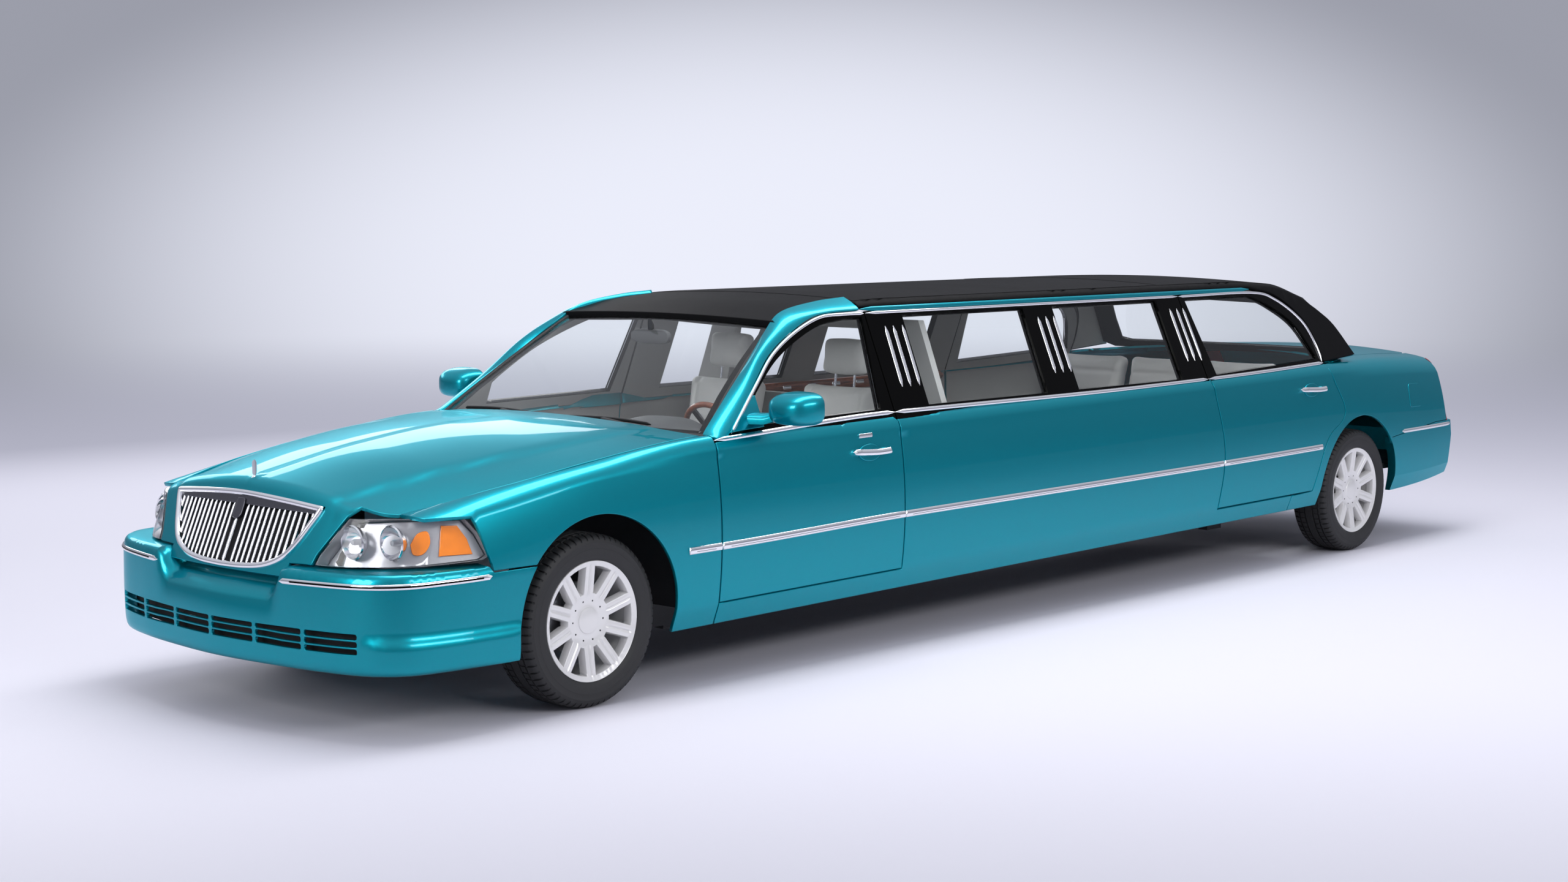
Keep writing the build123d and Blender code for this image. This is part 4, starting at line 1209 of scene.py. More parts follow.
def hood_height(x, y):
    """Height of the hood's top, with a raised middle between two creases and a fine ridge along it."""
    wide = np.abs(y)
    data = station(np.minimum(x, 4.4))
    shoulder_z, shoulder_y, crown_z = data[:, 8], data[:, 9], data[:, 10]
    drop = crown_z - shoulder_z
    radius = (shoulder_y**2 + drop**2) / (2 * drop)
    z = crown_z - radius + np.sqrt(np.maximum(radius**2 - wide**2, 0.01))
    crease = CREASE(x)[:, 0]
    raised = 1 / (1 + np.exp((wide - crease) / 0.011))
    ridge = np.exp(-((wide / 0.014) ** 2)) * np.clip((x - 2.6) / 1.2, 0, 1)
    return z + 0.011 * raised * np.clip((x - 2.42) / 0.25, 0, 1) + 0.004 * ridge


# The hood's top turns down on a radius HOOD_CORNER, over CORNER_RUN metres of its own length.
HOOD_CORNER, CORNER_RUN = 0.034, 0.056
# The face below drops FACE_DROP metres per metre of length.
FACE_DROP = 0.92


def hood_cut(y):
    """Where the hood's top meets the leaning nose face, for each half width."""
    gone, line = NOSE_BOW
    w = np.interp(np.abs(y), line[:, 1], gone)
    x = np.full(len(y), 4.08)
    for _ in range(12):
        z = hood_height(x, y)
        x = nose_skin(np.stack([w, z], 1))[:, 0]
    return x, hood_height(x, y), w


def hood_rear(y):
    """The hood's rear edge: bowed forward at the middle."""
    wide = np.clip(np.abs(y) / 0.893, 0, 1)
    return 2.445 + 0.079 * (1 - wide**2)


def hood_skin(uv):
    """Hood top, rounded front and nose face in one: u runs forward in metres and then down the face."""
    u, y = uv[:, 0], uv[:, 1]
    edge_x, edge_z, w = hood_cut(y)
    start = edge_x - HOOD_CORNER
    x = np.minimum(u, start)
    top = np.stack([x, y, hood_height(x, y)], 1)
    begin = np.stack([start, y, hood_height(start, y)], 1)
    corner = np.stack([edge_x, y, edge_z], 1)
    end_z = edge_z - FACE_DROP * HOOD_CORNER
    end = nose_skin(np.stack([signed(w, y), end_z], 1))
    t = np.clip((u - start) / CORNER_RUN, 0, 1)[:, None]
    arc = begin * (1 - t) ** 2 + corner * 2 * t * (1 - t) + end * t**2
    down = np.maximum(u - start - CORNER_RUN, 0)
    face = nose_skin(np.stack([signed(w, y), end_z - down * FACE_DROP], 1))
    lower = (u > start + CORNER_RUN)[:, None]
    return np.where((u <= start)[:, None], top, np.where(lower, face, arc))


def face_u(y, z):
    """The hood coordinate of a place on the nose face."""
    y, z = np.atleast_1d(y).astype(float), np.atleast_1d(z).astype(float)
    edge_x, edge_z, _ = hood_cut(y)
    return edge_x - HOOD_CORNER + CORNER_RUN + (edge_z - FACE_DROP * HOOD_CORNER - z) / FACE_DROP


def on_face(points):
    """A line on the nose face from half widths and heights."""
    points = np.asarray(points, float)
    return np.stack([face_u(points[:, 0], points[:, 1]), points[:, 0]], 1)


def both_halves(half, flip=(1, -1)):
    """A closed line from its left half, which starts and ends at the middle."""
    half = np.asarray(half, float)
    return np.concatenate([half, (half * flip)[::-1]])


print("hood form ready")

# %% [markdown]
# The hood's outline runs along its bowed rear edge, down the seam with the fender, over the nose and round
# the grille, which is a hole in the sheet. Extra rows of points lie where the top turns down, so the turn
# is round.

# %% The hood
rear_y = np.linspace(0, 0.888, 24)
rear_edge = np.stack([hood_rear(rear_y), rear_y], 1)
side_edge = smooth_line([(2.445, 0.889), (3.27, 0.873), (3.70, 0.811), (3.85, 0.776), (3.932, 0.746)], 0.04)
front_edge = smooth_line([(3.932, 0.746), (3.962, 0.715), (3.985, 0.665), (4.000, 0.612)], 0.02)
nose_edge = on_face(resample([(0.606, 0.846), (0.518, 0.700), (0.508, 0.662), (0.392, 0.660), (0.392, 0.609),
                              (0, 0.609)], 0.03,
                             closed=False))
hood_half = closed_line(rear_edge[1:], side_edge, front_edge, nose_edge[:-1])
hood_line = closed_line(both_halves(np.concatenate([[rear_edge[0]], hood_half, [nose_edge[-1]]])))
GRILLE_U = [(0.487, 0.874), (0.474, 0.840), (0.452, 0.800), (0.404, 0.720), (0.352, 0.668), (0.262, 0.632),
            (0.140, 0.617), (0.0, 0.613)]
u_side = smooth_line(GRILLE_U, 0.02)
u_top = np.stack([np.linspace(0, 0.487, 22)[:-1], 0.903 - 0.029 * (np.linspace(0, 1, 22)[:-1]) ** 1.6], 1)
u_half = np.concatenate([u_top, u_side])
grille_loop = closed_line(both_halves(u_half, (-1, 1)))
grille_hole = on_face(grille_loop)
corner_rows = []
for y in np.linspace(-0.60, 0.60, 55):
    start = hood_cut(np.array([y]))[0][0] - HOOD_CORNER
    corner_rows += [(start + CORNER_RUN * t, y) for t in np.linspace(-0.15, 1.15, 8)]
hood_sheet = press(hood_skin, hood_line, [grille_hole], depth=0.014, spacing=0.045,
                   extra=np.array(corner_rows))
hood = sheet_piece("hood_skin", [hood_sheet], [body_paint], "hood", "body_paint", "hood")
print("hood", len(hood.data.polygons), "faces")

# %% [markdown]
# ## Bumper
#
# The bumper is a hoop: one profile, from the lip under the air intake up to the shelf behind its top edge,
# carried round the plan bow. In the middle the profile dips into a scoop below the grille, so two profiles
# are blended. The intake slots are holes in the same sheet.

# %% The front bumper
BUMPER_BOW = bow([(4.280, 0), (4.262, 0.280), (4.222, 0.570), (4.155, 0.800), (4.030, 0.930), (3.840, 0.975),
                  (3.660, 0.984), (3.430, 0.986)])
BUMPER_PROFILE = smooth_table(
    [0.16, 0.215, 0.255, 0.300, 0.420, 0.600, 0.632, 0.655, 0.700, 0.820],
    [(-0.090, 0.270), (-0.036, 0.262), (-0.014, 0.272), (-0.004, 0.306), (0, 0.420), (-0.002, 0.600),
     (-0.008, 0.632), (-0.026, 0.650), (-0.070, 0.6535), (-0.190, 0.6540)],
)
SCOOP_PROFILE = smooth_table(
    [0.16, 0.215, 0.255, 0.300, 0.420, 0.560, 0.600, 0.655, 0.700, 0.820],
    [(-0.090, 0.270), (-0.036, 0.262), (-0.014, 0.272), (-0.004, 0.306), (0, 0.420), (-0.010, 0.515),
     (-0.022, 0.532), (-0.050, 0.556), (-0.085, 0.582), (-0.160, 0.604)],
)


def bumper_skin(uv):
    """The bumper: uv holds the distance round from the middle and the height along the profile."""
    w, v = np.abs(uv[:, 0]), uv[:, 1]
    x, y = on_bow(BUMPER_BOW, w)
    x2, y2 = on_bow(BUMPER_BOW, w + 0.01)
    x1, y1 = on_bow(BUMPER_BOW, w - 0.01)
    ax, ay = x2 - x1, y2 - y1
    size = np.hypot(ax, ay)
    nx, ny = ay / size, -ax / size
    t = np.clip((0.425 - w) / 0.085, 0, 1)
    blend = (t * t * (3 - 2 * t))[:, None]
    profile = BUMPER_PROFILE(v) * (1 - blend) + SCOOP_PROFILE(v) * blend
    side = np.clip((w - 1.25) / 0.2, 0, 1)
    groove = 0.004 * np.exp(-(((v - 0.40) / 0.006) ** 2)) * np.clip((w - 0.8) / 0.1, 0, 1)
    out = profile[:, 0] * (1 - 0.6 * side) - groove
    return np.stack([x + nx * out, signed(y + ny * out, uv[:, 0]), profile[:, 1]], 1)


def round_slot(centre, size, radius, count=4):
    """A rectangle with round corners, as a closed line."""
    (cx, cy), (w, h) = centre, size
    line = []
    for k, (sx, sy) in enumerate(((1, 1), (-1, 1), (-1, -1), (1, -1))):
        for a in np.linspace(0, 90, count):
            angle = math.radians(a + 90 * k)
            x = cx + sx * (w / 2 - radius) + radius * math.cos(angle)
            line.append((x, cy + sy * (h / 2 - radius) + radius * math.sin(angle)))
    return resample(line, 0.05)


def side_w(x):
    """How far round the bumper a station x lies."""
    gone, line = BUMPER_BOW
    return float(np.interp(-x, -line[:, 0], gone))


arch_end = []
for z in np.linspace(0.262, 0.624, 12):
    ahead = math.sqrt(ARCH_RADIUS**2 - max(z - ARCH_HEIGHT, 0) ** 2)
    arch_end.append((side_w(FRONT_AXLE + ahead), z))
bumper_half = closed_line(
    resample([(0, 0.215), (1.0, 0.215), (arch_end[0][0], 0.235)], 0.05, closed=False),
    np.array(arch_end),
    open_line((side_w(3.435), 0.624), (side_w(3.655), 0.624), (side_w(3.668), 0.648)),
    open_line((side_w(3.668), 0.760), (0.60, 0.800), (0.42, 0.800), (0, 0.800)),
)
slots = [
    round_slot((side * (0.134 + 0.2673 * column), z), (0.249, 0.0215), 0.008)
    for side in (-1, 1) for column in range(3) for z in (0.357, 0.386, 0.415)
]
TOP_ROWS = (0.585, 0.612, 0.632, 0.645, 0.66, 0.68, 0.71)
rows_near_top = [(w, v) for w in np.arange(-1.30, 1.31, 0.035) for v in TOP_ROWS]
rows_below = [(w, v) for w in np.arange(-1.5, 1.51, 0.04) for v in (0.235, 0.255, 0.275, 0.30)]
bumper_sheet = press(
    bumper_skin, closed_line(both_halves(bumper_half, (-1, 1))), slots, depth=0.014, spacing=0.04,
    extra=np.array(rows_near_top + rows_below),
)
sheet_piece("front_bumper_skin", [bumper_sheet], [body_paint], "body", "body_paint", "front_bumper")


def face_normals_of(surface, uv):
    """Normals of a form that point forward."""
    normals = surface_normals(surface, uv)
    return -normals if np.sum(normals[:, 0]) < 0 else normals


def backing(name, surface, outline, depth_in, body, spacing):
    """A dark sheet behind an opening, set in from its surface."""

    def behind(uv):
        """The surface, moved in by the depth."""
        return surface(uv) - face_normals_of(surface, uv) * depth_in

    sheet = press(behind, outline, depth=0.004, spacing=spacing)
    sheet_piece(name, [sheet], [liner_black], body, "chassis_steel")


intake_line = resample([(-0.84, 0.325), (0.84, 0.325), (0.84, 0.445), (-0.84, 0.445)], 0.08)
backing("intake_mesh", bumper_skin, intake_line, 0.055, "body", 0.08)

# A bright strip with a dark insert runs from each side of the scoop round to the wheel arch.
strip_path = [(0.415, 0.602), (0.60, 0.604), (0.90, 0.606), (1.15, 0.609), (1.35, 0.610),
              (side_w(3.668), 0.612)]
strip_lines = [smooth_line(strip_path, 0.025) * (side, 1) for side in (-1, 1)]
strip_sheets = [strip_on(bumper_skin, line, 0.011, 0.006) for line in strip_lines]
strip_sheets += [with_slot(strip_on(bumper_skin, line[2:-2], 0.005, 0.0075), 1) for line in strip_lines]
sheet_piece("bumper_strips", strip_sheets, [chrome, black_gloss], "body", "wheel_alloy")
print("bumper with", len(slots), "intake slots")

# %% [markdown]
# ## Grille
#
# A bright U frame holds upright bars, with a broad gunmetal band across the top and a plain boss in the
# middle. Each bar is one rounded strip that lies on the nose surface and ends on the frame.

# %% The grille
u_inner = inset(anticlockwise(grille_loop), 0.010)
grille_sheets = [strip_on(nose_skin, u_inner, 0.0125, 0.015, closed=True, sink=0.012)]
half = np.linspace(0, 0.462, 20)
band_top = np.stack([half, 0.892 - 0.027 * (half / 0.487) ** 1.6], 1)
band_low = np.stack([half[::-1], 0.852 - 0.010 * (half[::-1] / 0.487) ** 2], 1)
band_line = closed_line(both_halves(np.concatenate([band_top, band_low]), (-1, 1)))
grille_sheets.append(press(nose_skin, band_line, depth=0.012, spacing=0.04, slots=(1, 1, 1)))
for side in (-1, 1):
    for i in range(13):
        y = side * (0.048 + 0.0322 * i)
        foot = float(np.interp(abs(y), u_side[::-1, 0], u_side[::-1, 1])) + 0.012
        run = np.stack([np.full(14, y), np.linspace(foot, 0.858, 14)], 1)
        grille_sheets.append(strip_on(nose_skin, run, 0.0062, 0.006, lift=-0.006, sink=0.016))
boss_line = smooth_line([(0, 0.876), (0.024, 0.872), (0.030, 0.84), (0.026, 0.806), (0, 0.796)], 0.008)
boss = closed_line(both_halves(boss_line, (-1, 1)))


def boss_skin(uv):
    """The nose form, swollen along its middle."""
    points = nose_skin(uv)
    points[:, 0] += 0.011 - 0.006 * (np.abs(uv[:, 0]) / 0.03) ** 2
    return points


grille_sheets.append(press(boss_skin, boss, depth=0.018, spacing=0.012, slots=(1, 1, 1)))
middle = np.stack([np.zeros(12), np.linspace(0.628, 0.80, 12)], 1)
grille_sheets.append(strip_on(nose_skin, middle, 0.0085, 0.008, lift=-0.003, sink=0.016))
sheet_piece("grille_bars", grille_sheets, [chrome, dark_chrome], "hood", "body_paint")
backing("grille_back", nose_skin, inset(u_inner, 0.004), 0.045, "hood", 0.06)
print("grille of", len(grille_sheets), "parts")

# %% [markdown]
# ## Headlamps
#
# A headlamp is a grey bucket with two bright bowls and amber parts, closed by a clear cover that follows the
# nose and turns the corner with it. The bowls are turned shapes, so each is one profile spun round an axis.

# %% Turned shapes
def plain_mesh(name, points, polygons, materials, slots=None, angle=35):
    """A mesh whose edges sharper than the angle stay crisp."""
    mesh = bpy.data.meshes.new(name)
    mesh.from_pydata([tuple(p) for p in points], [], [tuple(int(i) for i in f) for f in polygons])
    for material in materials:
        mesh.materials.append(material)
    if slots is not None:
        mesh.polygons.foreach_set("material_index", slots)
    mesh.polygons.foreach_set("use_smooth", [True] * len(mesh.polygons))
    mesh.update()
    mesh.set_sharp_from_angle(angle=math.radians(angle))
    return linked(name, mesh)


def turned(profile, count, centre, axis, start=(0, 0, 1)):
    """A profile of (radius, height) pairs spun round an axis: points and outward polygons."""
    axis = np.array(axis, float) / np.linalg.norm(axis)
    side = np.array(start, float) - axis * np.dot(start, axis)
    side /= np.linalg.norm(side)
    other = np.cross(axis, side)
    points, rings = [], []
    for radius, height in profile:
        base = np.array(centre) + axis * height
        if radius < 1e-6:
            rings.append([len(points)])
            points.append(base)
            continue
        rings.append(list(range(len(points), len(points) + count)))
        for k in range(count):
            a = 2 * math.pi * k / count
            points.append(base + side * (radius * math.cos(a)) + other * (radius * math.sin(a)))
    polygons = []
    closed = rings[0] != rings[-1] and len(rings[0]) > 1 and len(rings[-1]) > 1
    pairs = list(zip(rings, rings[1:])) + ([(rings[-1], rings[0])] if closed else [])
    for a, b in pairs:
        for k in range(count):
            m = (k + 1) % count
            if len(a) == 1 and len(b) == 1:
                continue
            if len(a) == 1:
                polygons.append((a[0], b[k], b[m]))
            elif len(b) == 1:
                polygons.append((a[k], b[0], a[m]))
            else:
                polygons.append((a[k], b[k], b[m], a[m]))
    points = np.array(points)
    volume = 0.0
    for f in polygons:
        for i in range(1, len(f) - 1):
            volume += np.dot(points[f[0]], np.cross(points[f[i]], points[f[i + 1]]))
    if volume < 0:
        polygons = [f[::-1] for f in polygons]
    return points, polygons


def mesh_piece(name, points, polygons, materials, body, slot, *stands_for, slots=None, angle=35):
    """A crisp mesh, on its body."""
    made = plain_mesh(name, points, polygons, materials, slots, angle)
    return place_piece(made, body, slot, *stands_for)


print("turned shapes ready")

# %% [markdown]
# The lamp's outline is measured round the nose from the middle. Bowls, bulbs and markers sit behind it in the
# bucket, and the clear cover closes the front.

# %% Headlamps
LAMP_OUTLINE = [(0.537, 0.700), (0.622, 0.838), (0.80, 0.841), (1.00, 0.838), (1.10, 0.834), (1.165, 0.775),
                (1.225, 0.692), (1.19, 0.674), (0.97, 0.664), (0.66, 0.662), (0.528, 0.664)]
LAMP_HEIGHT = 0.748
BOWLS = ((0.640, 0.064), (0.800, 0.066))
BULB = [(0, 0.004), (0.010, 0.000), (0.013, -0.012), (0.012, -0.040), (0, -0.044)]
ROUND_MARKER = [(0.905, 0.750), (0.930, 0.790), (0.975, 0.795), (0.992, 0.750), (0.968, 0.712),
                (0.925, 0.712), (0.905, 0.750)]
CORNER_MARKER = [(1.035, 0.700), (1.030, 0.815), (1.098, 0.812), (1.145, 0.760), (1.175, 0.700)]
MARKERS = (smooth_line(ROUND_MARKER, 0.01)[:-1], resample(CORNER_MARKER, 0.02))
lamp_line = resample(LAMP_OUTLINE, 0.03)
shell_line = inset(anticlockwise(lamp_line), 0.004)


def bucket(uv):
    """The inside of the lamp, deepest beside the grille."""
    deep = np.clip(1.35 - np.abs(uv[:, 0]), 0.25, 0.62)
    return nose_skin(uv) - face_normals_of(nose_skin, uv) * (0.075 * deep + 0.02)[:, None]


def bowl_profile(radius):
    """A bright bowl with a rolled rim."""
    return [(0, -0.052), (0.018, -0.050), (0.040, -0.036), (0.056, -0.014), (radius - 0.004, 0.004),
            (radius, 0.006), (radius + 0.004, 0.000), (0.060, -0.020), (0.042, -0.042), (0.018, -0.056),
            (0, -0.058)]


def lamp_wall(side):
    """The wall round the lamp, between its cover and its bucket."""
    line = lamp_line * (side, 1)
    outer, inner = nose_skin(line), bucket(line)
    size = len(line)
    faces = []
    for i in range(size):
        j = (i + 1) % size
        for k in range(4):
            m = (k + 1) % 4
            quad = (k * size + i, k * size + j, m * size + j, m * size + i)
            faces.append(quad if side > 0 else quad[::-1])
    return np.concatenate([outer - (0.003, 0, 0), inner, inner - (0.004, 0, 0), outer - (0.007, 0, 0)]), faces


for side_name, side in SIDES:
    flip = (side, 1)
    cover = press(nose_skin, lamp_line * flip, depth=0.004, spacing=0.035, edge=0.001)
    sheet_piece(f"lamp_cover_{side_name}", [cover], [lamp_glass], "body", "lamp_glass",
                f"headlamp_{side_name}")
    housing = press(bucket, shell_line * flip, depth=0.004, spacing=0.04)
    sheet_piece(f"lamp_housing_{side_name}", [housing], [lamp_grey], "body", "lamp_glass")
    mesh_piece(f"lamp_wall_{side_name}", *lamp_wall(side), [lamp_grey], "body", "lamp_glass")
    for number, (w, radius) in enumerate(BOWLS, 1):
        aim = np.array([1.0, 0.0, -0.02])
        centre = nose_skin(np.array([[w * side, LAMP_HEIGHT]]))[0] - aim * 0.030
        bowl = turned(bowl_profile(radius), 40, centre, aim)
        mesh_piece(f"lamp_bowl_{side_name}_{number}", *bowl, [reflector], "body", "lamp_glass")
        bulb = turned(BULB, 20, centre, aim)
        mesh_piece(f"lamp_bulb_{side_name}_{number}", *bulb, [lamp_grey], "body", "lamp_glass")

    def marker(uv):
        """The bucket's form, moved a little forward."""
        return bucket(uv) + (0.012, 0.004 * side, 0)

    for number, line in enumerate(MARKERS, 1):
        sheet = press(marker, line * flip, depth=0.010, spacing=0.02)
        sheet_piece(f"lamp_marker_{side_name}_{number}", [sheet], [amber], "body", "lamp_glass")
print("headlamps with", len(BOWLS), "bowls each")

# %% [markdown]
# ## Roof and pillars
#
# Above the belt the form is a house: leaning sides, a tight corner and a crowned roof. One surface runs from
# the middle of the roof round the corner and down the side, so the vinyl cover with its broad rear pillars is
# a single sheet, as it is glued on the real car. The painted front rail is a band between three lines.

# %% Vinyl roof
HOUSE = smooth_table(
    [-3.35, -3.00, -2.643, -2.364, -1.90, 1.00, 1.446, 1.815, 2.10, 2.45],
    [(1.222, 1.250), (1.340, 1.385), (1.462, 1.512), (1.538, 1.588), (1.560, 1.610), (1.560, 1.610),
     (1.540, 1.585), (1.469, 1.516), (1.390, 1.436), (1.27, 1.32)],
)
CROWN_RUN, CORNER_TURN = 0.655, 0.075


def house_skin(uv):
    """The whole greenhouse: uv holds x and the distance round from the middle of the roof."""
    x, v = uv[:, 0], np.abs(uv[:, 1])
    edge_z, crown_z = HOUSE(x).T
    edge_y = BELT_Y - TUMBLE * (edge_z - BELT_Z)
    rim_y, rim_z = edge_y - 0.062, edge_z + 0.028
    y = rim_y * np.clip(v / CROWN_RUN, 0, 1)
    drop = crown_z - rim_z
    radius = (rim_y**2 + drop**2) / (2 * drop)
    z = crown_z - radius + np.sqrt(radius**2 - y**2)
    t = np.clip((v - CROWN_RUN) / CORNER_TURN, 0, 1)
    slope = rim_y / np.sqrt(radius**2 - rim_y**2)
    meet_z = rim_z - slope * (edge_y - rim_y) * 0.9
    meet_y = BELT_Y - TUMBLE * (meet_z - BELT_Z)
    by = rim_y * (1 - t) ** 2 + 2 * t * (1 - t) * meet_y + edge_y * t**2
    bz = rim_z * (1 - t) ** 2 + 2 * t * (1 - t) * meet_z + edge_z * t**2
    down = np.maximum(v - CROWN_RUN - CORNER_TURN, 0) * SLANT
    sz = edge_z - down
    sy = BELT_Y - TUMBLE * (sz - BELT_Z)
    y = np.where(v > CROWN_RUN, by, y)
    z = np.where(v > CROWN_RUN, bz, z)
    y = np.where(down > 0, sy, y)
    z = np.where(down > 0, sz, z)
    return np.stack([x, signed(y, uv[:, 1]), z], 1)


def house_v(points):
    """Distances round from the middle for places given by x and height on the leaning side."""
    points = np.asarray(points, float)
    edge_z = HOUSE(points[:, 0])[:, 0]
    return np.stack([points[:, 0], CROWN_RUN + CORNER_TURN + (edge_z - points[:, 1]) / SLANT], 1)


SCREEN_TOP_X = 1.772
vinyl_low = resample([(1.236, 1.553), (-2.080, 1.553)], 0.07, closed=False)
vinyl_door = smooth_line([(-2.100, 1.552), (-2.345, 1.502), (-2.545, 1.372), (-2.613, 1.236),
                          (-2.622, 1.122)], 0.03)
vinyl_back = smooth_line([(-2.990, 1.146), (-2.870, 1.318), (-2.760, 1.400), (-2.690, 1.440)], 0.03)
vinyl_half = closed_line(
    np.array([(SCREEN_TOP_X + 0.010 * (1 - (v / 0.7) ** 2), v) for v in np.linspace(0, 0.66, 12)]),
    np.array([(1.770, 0.652), (1.700, 0.646), (1.560, 0.640), (1.420, 0.636), (1.236, 0.634),
              (1.234, 0.690)]),
    house_v(vinyl_low), house_v(vinyl_door),
    house_v(open_line((-2.622, 1.122), (-2.990, 1.146))),
    house_v(vinyl_back),
    np.array([(-2.668 - 0.016 * (1 - (v / 0.7) ** 2), v) for v in np.linspace(0.68, 0, 12)]),
)
vinyl_line = closed_line(both_halves(vinyl_half))
CORNER_ROWS = (0.64, 0.66, 0.68, 0.70, 0.72, 0.735)
corner_points = np.array([
    (x, side * v) for x in np.arange(-2.6, 1.75, 0.09) for side in (-1, 1) for v in CORNER_ROWS
])
cover = press(house_skin, vinyl_line, (), 0.030, 0.085, 0.006, slots=(0, 1, 0), extra=corner_points)
sheet_piece("roof_cover", [cover], [roof_vinyl, headliner], "body", "roof_vinyl", "roof")

# The stitched seams in the cover, where it turns down to the sides and across the roof at two pillars.
SEAM_V = 0.668
seam_runs = [[(x, side * SEAM_V) for x in np.linspace(1.22, -2.60, 90)] for side in (-1, 1)]
seam_runs += [[(x, v) for v in np.linspace(-SEAM_V, SEAM_V, 50)] for x in (1.215, -1.27)]
seam_sheets = [strip_on(house_skin, run, 0.0035, 0.002) for run in seam_runs]
sheet_piece("roof_seams", seam_sheets, [roof_vinyl], "body", "roof_vinyl")
print("roof cover with", len(seam_runs), "seams")

# %% [markdown]
# The painted rail beside the windscreen is stretched between three lines: the door's edge, the fold and the
# glass. Each line is cut into the same number of steps, and a soft curve joins the three at every step.

# %% Painted front rail, from the hood to the first pillar
rail_low = smooth_line([(2.372, 1.036), (2.290, 1.066), (2.064, 1.254), (1.908, 1.376), (1.717, 1.467),
                        (1.523, 1.527), (1.236, 1.540)], 0.03)
rail_high = smooth_line([(2.392, 1.056), (2.352, 1.076), (2.143, 1.233), (1.974, 1.383), (1.815, 1.475),
                         (1.668, 1.530), (1.446, 1.556), (1.236, 1.562)], 0.03)
glass_edge = smooth_line([(2.402, 0.868, 1.058), (2.386, 0.860, 1.070), (2.190, 0.800, 1.208),
                          (2.000, 0.742, 1.338), (1.830, 0.688, 1.462), (1.690, 0.655, 1.545),
                          (1.446, 0.640, 1.584), (1.236, 0.634, 1.598)], 0.03)


def share(line, count):
    """A line cut into equal steps."""
    gone = np.concatenate([[0], np.cumsum(np.linalg.norm(np.diff(line, axis=0), axis=1))])
    at = np.linspace(0, gone[-1], count)
    return np.stack([np.interp(at, gone, line[:, k]) for k in range(line.shape[1])], 1)


STEPS = 70
low2, high2, inner3 = share(rail_low, STEPS), share(rail_high, STEPS), share(glass_edge, STEPS)
low3 = house_side(low2)
high3 = house_side(high2) - np.array([0, 0.010, 0])


def curve(a, b, c, d, t):
    """A soft curve from a to d, pulled towards b and c."""
    return a * (1 - t) ** 3 + 3 * b * t * (1 - t) ** 2 + 3 * c * t**2 * (1 - t) + d * t**3


def rail_skin(uv):
    """The rail: u runs along it in steps, v from the door's edge over the corner to the glass."""
    u, v = np.clip(uv[:, 0], 0, STEPS - 1.001), uv[:, 1]
    i = u.astype(int)
    f = (u - i)[:, None]
    a, b, c = (line[i] * (1 - f) + line[i + 1] * f for line in (low3, high3, inner3))
    knee = b + (b - a) * 0.25 + (b - c) * 0.25
    t = np.clip(v, -0.05, 1.05)[:, None]
    return curve(a, a * 0.35 + knee * 0.65, knee * 0.75 + c * 0.25, c, t)


RAIL_GRID = (np.linspace(0, STEPS - 1.01, 90), np.linspace(0, 1, 13))
rail_sheet = grid_sheet(rail_skin, *RAIL_GRID, 0.020)
skin_count = len(RAIL_GRID[0]) * len(RAIL_GRID[1])
away = rail_sheet[0][:skin_count] - (1.8, 0.2, 1.0)
if np.mean(np.sum(rail_sheet[1][:skin_count] * away, axis=1)) < 0:
    rail_sheet = grid_sheet(rail_skin, *RAIL_GRID, 0.020, flip=True)
rail_sheets = [mirror_sheet(rail_sheet), rail_sheet]
sheet_piece("front_rail", rail_sheets, [body_paint], "body", "body_paint", "windscreen_frame")
print("front rails")

# %% [markdown]
# The windscreen is bowed in plan and raked. A black border is baked on its inside, a rubber seal runs round
# it, and a plastic cowl closes the gap to the hood. Each wiper is a blade on the glass with its arm above.

# %% Windscreen, its black border, cowl and wipers
def screen_skin(uv):
    """The raked, bowed windscreen: uv holds y and the share of the way up."""
    y, t = uv[:, 0], uv[:, 1]
    bow_x = 2.450 - 0.080 * (y / 0.96) ** 2
    swell = 0.010 * np.sin(math.pi * np.clip(t, 0, 1))
    return np.stack([bow_x - 0.621 * t * 1.04, y, 1.048 + 0.421 * t * 1.04 + swell], 1)


screen_half = resample([(0, 0.0), (0.855, 0.0), (0.862, 0.02), (0.790, 0.345), (0.735, 0.64), (0.690, 0.930),
                        (0.660, 1.020), (0.0, 1.075)], 0.06, closed=False)
screen_line = closed_line(both_halves(screen_half, (-1, 1)))
glass = press(screen_skin, screen_line, depth=0.005, spacing=0.07, edge=0.001)
sheet_piece("windscreen_glass", [glass], [window_glass], "body", "window_glass", "windscreen")
seal_line = anticlockwise(screen_line)
border_line = inset(seal_line, 0.050)


def screen_back(uv):
    """Just inside the windscreen."""
    return screen_skin(uv) - np.array([0.0040, 0, 0.0055])


border = press(screen_back, screen_line, [border_line], 0.002, 0.05, 0.0008)
sheet_piece("windscreen_border", [border], [black_gloss], "body", "window_glass")
seal = strip_on(screen_skin, seal_line, 0.012, 0.007, closed=True, sink=0.012)
sheet_piece("windscreen_seal", [seal], [black_rubber], "body", "window_glass")


def cowl_skin(uv):
    """The plastic panel between hood and glass: uv holds y and the share from the glass forward."""
    y, t = uv[:, 0], uv[:, 1]
    back = 2.448 - 0.080 * (y / 0.96) ** 2
    front = hood_rear(y) - 0.011
    x = back + (front - back) * t
    z = 1.046 + (hood_height(x, y) - 0.020 - 1.046) * t
    return np.stack([x - 0.02 * (1 - t), y, z - 0.006 * np.sin(math.pi * np.clip(t, 0, 1))], 1)


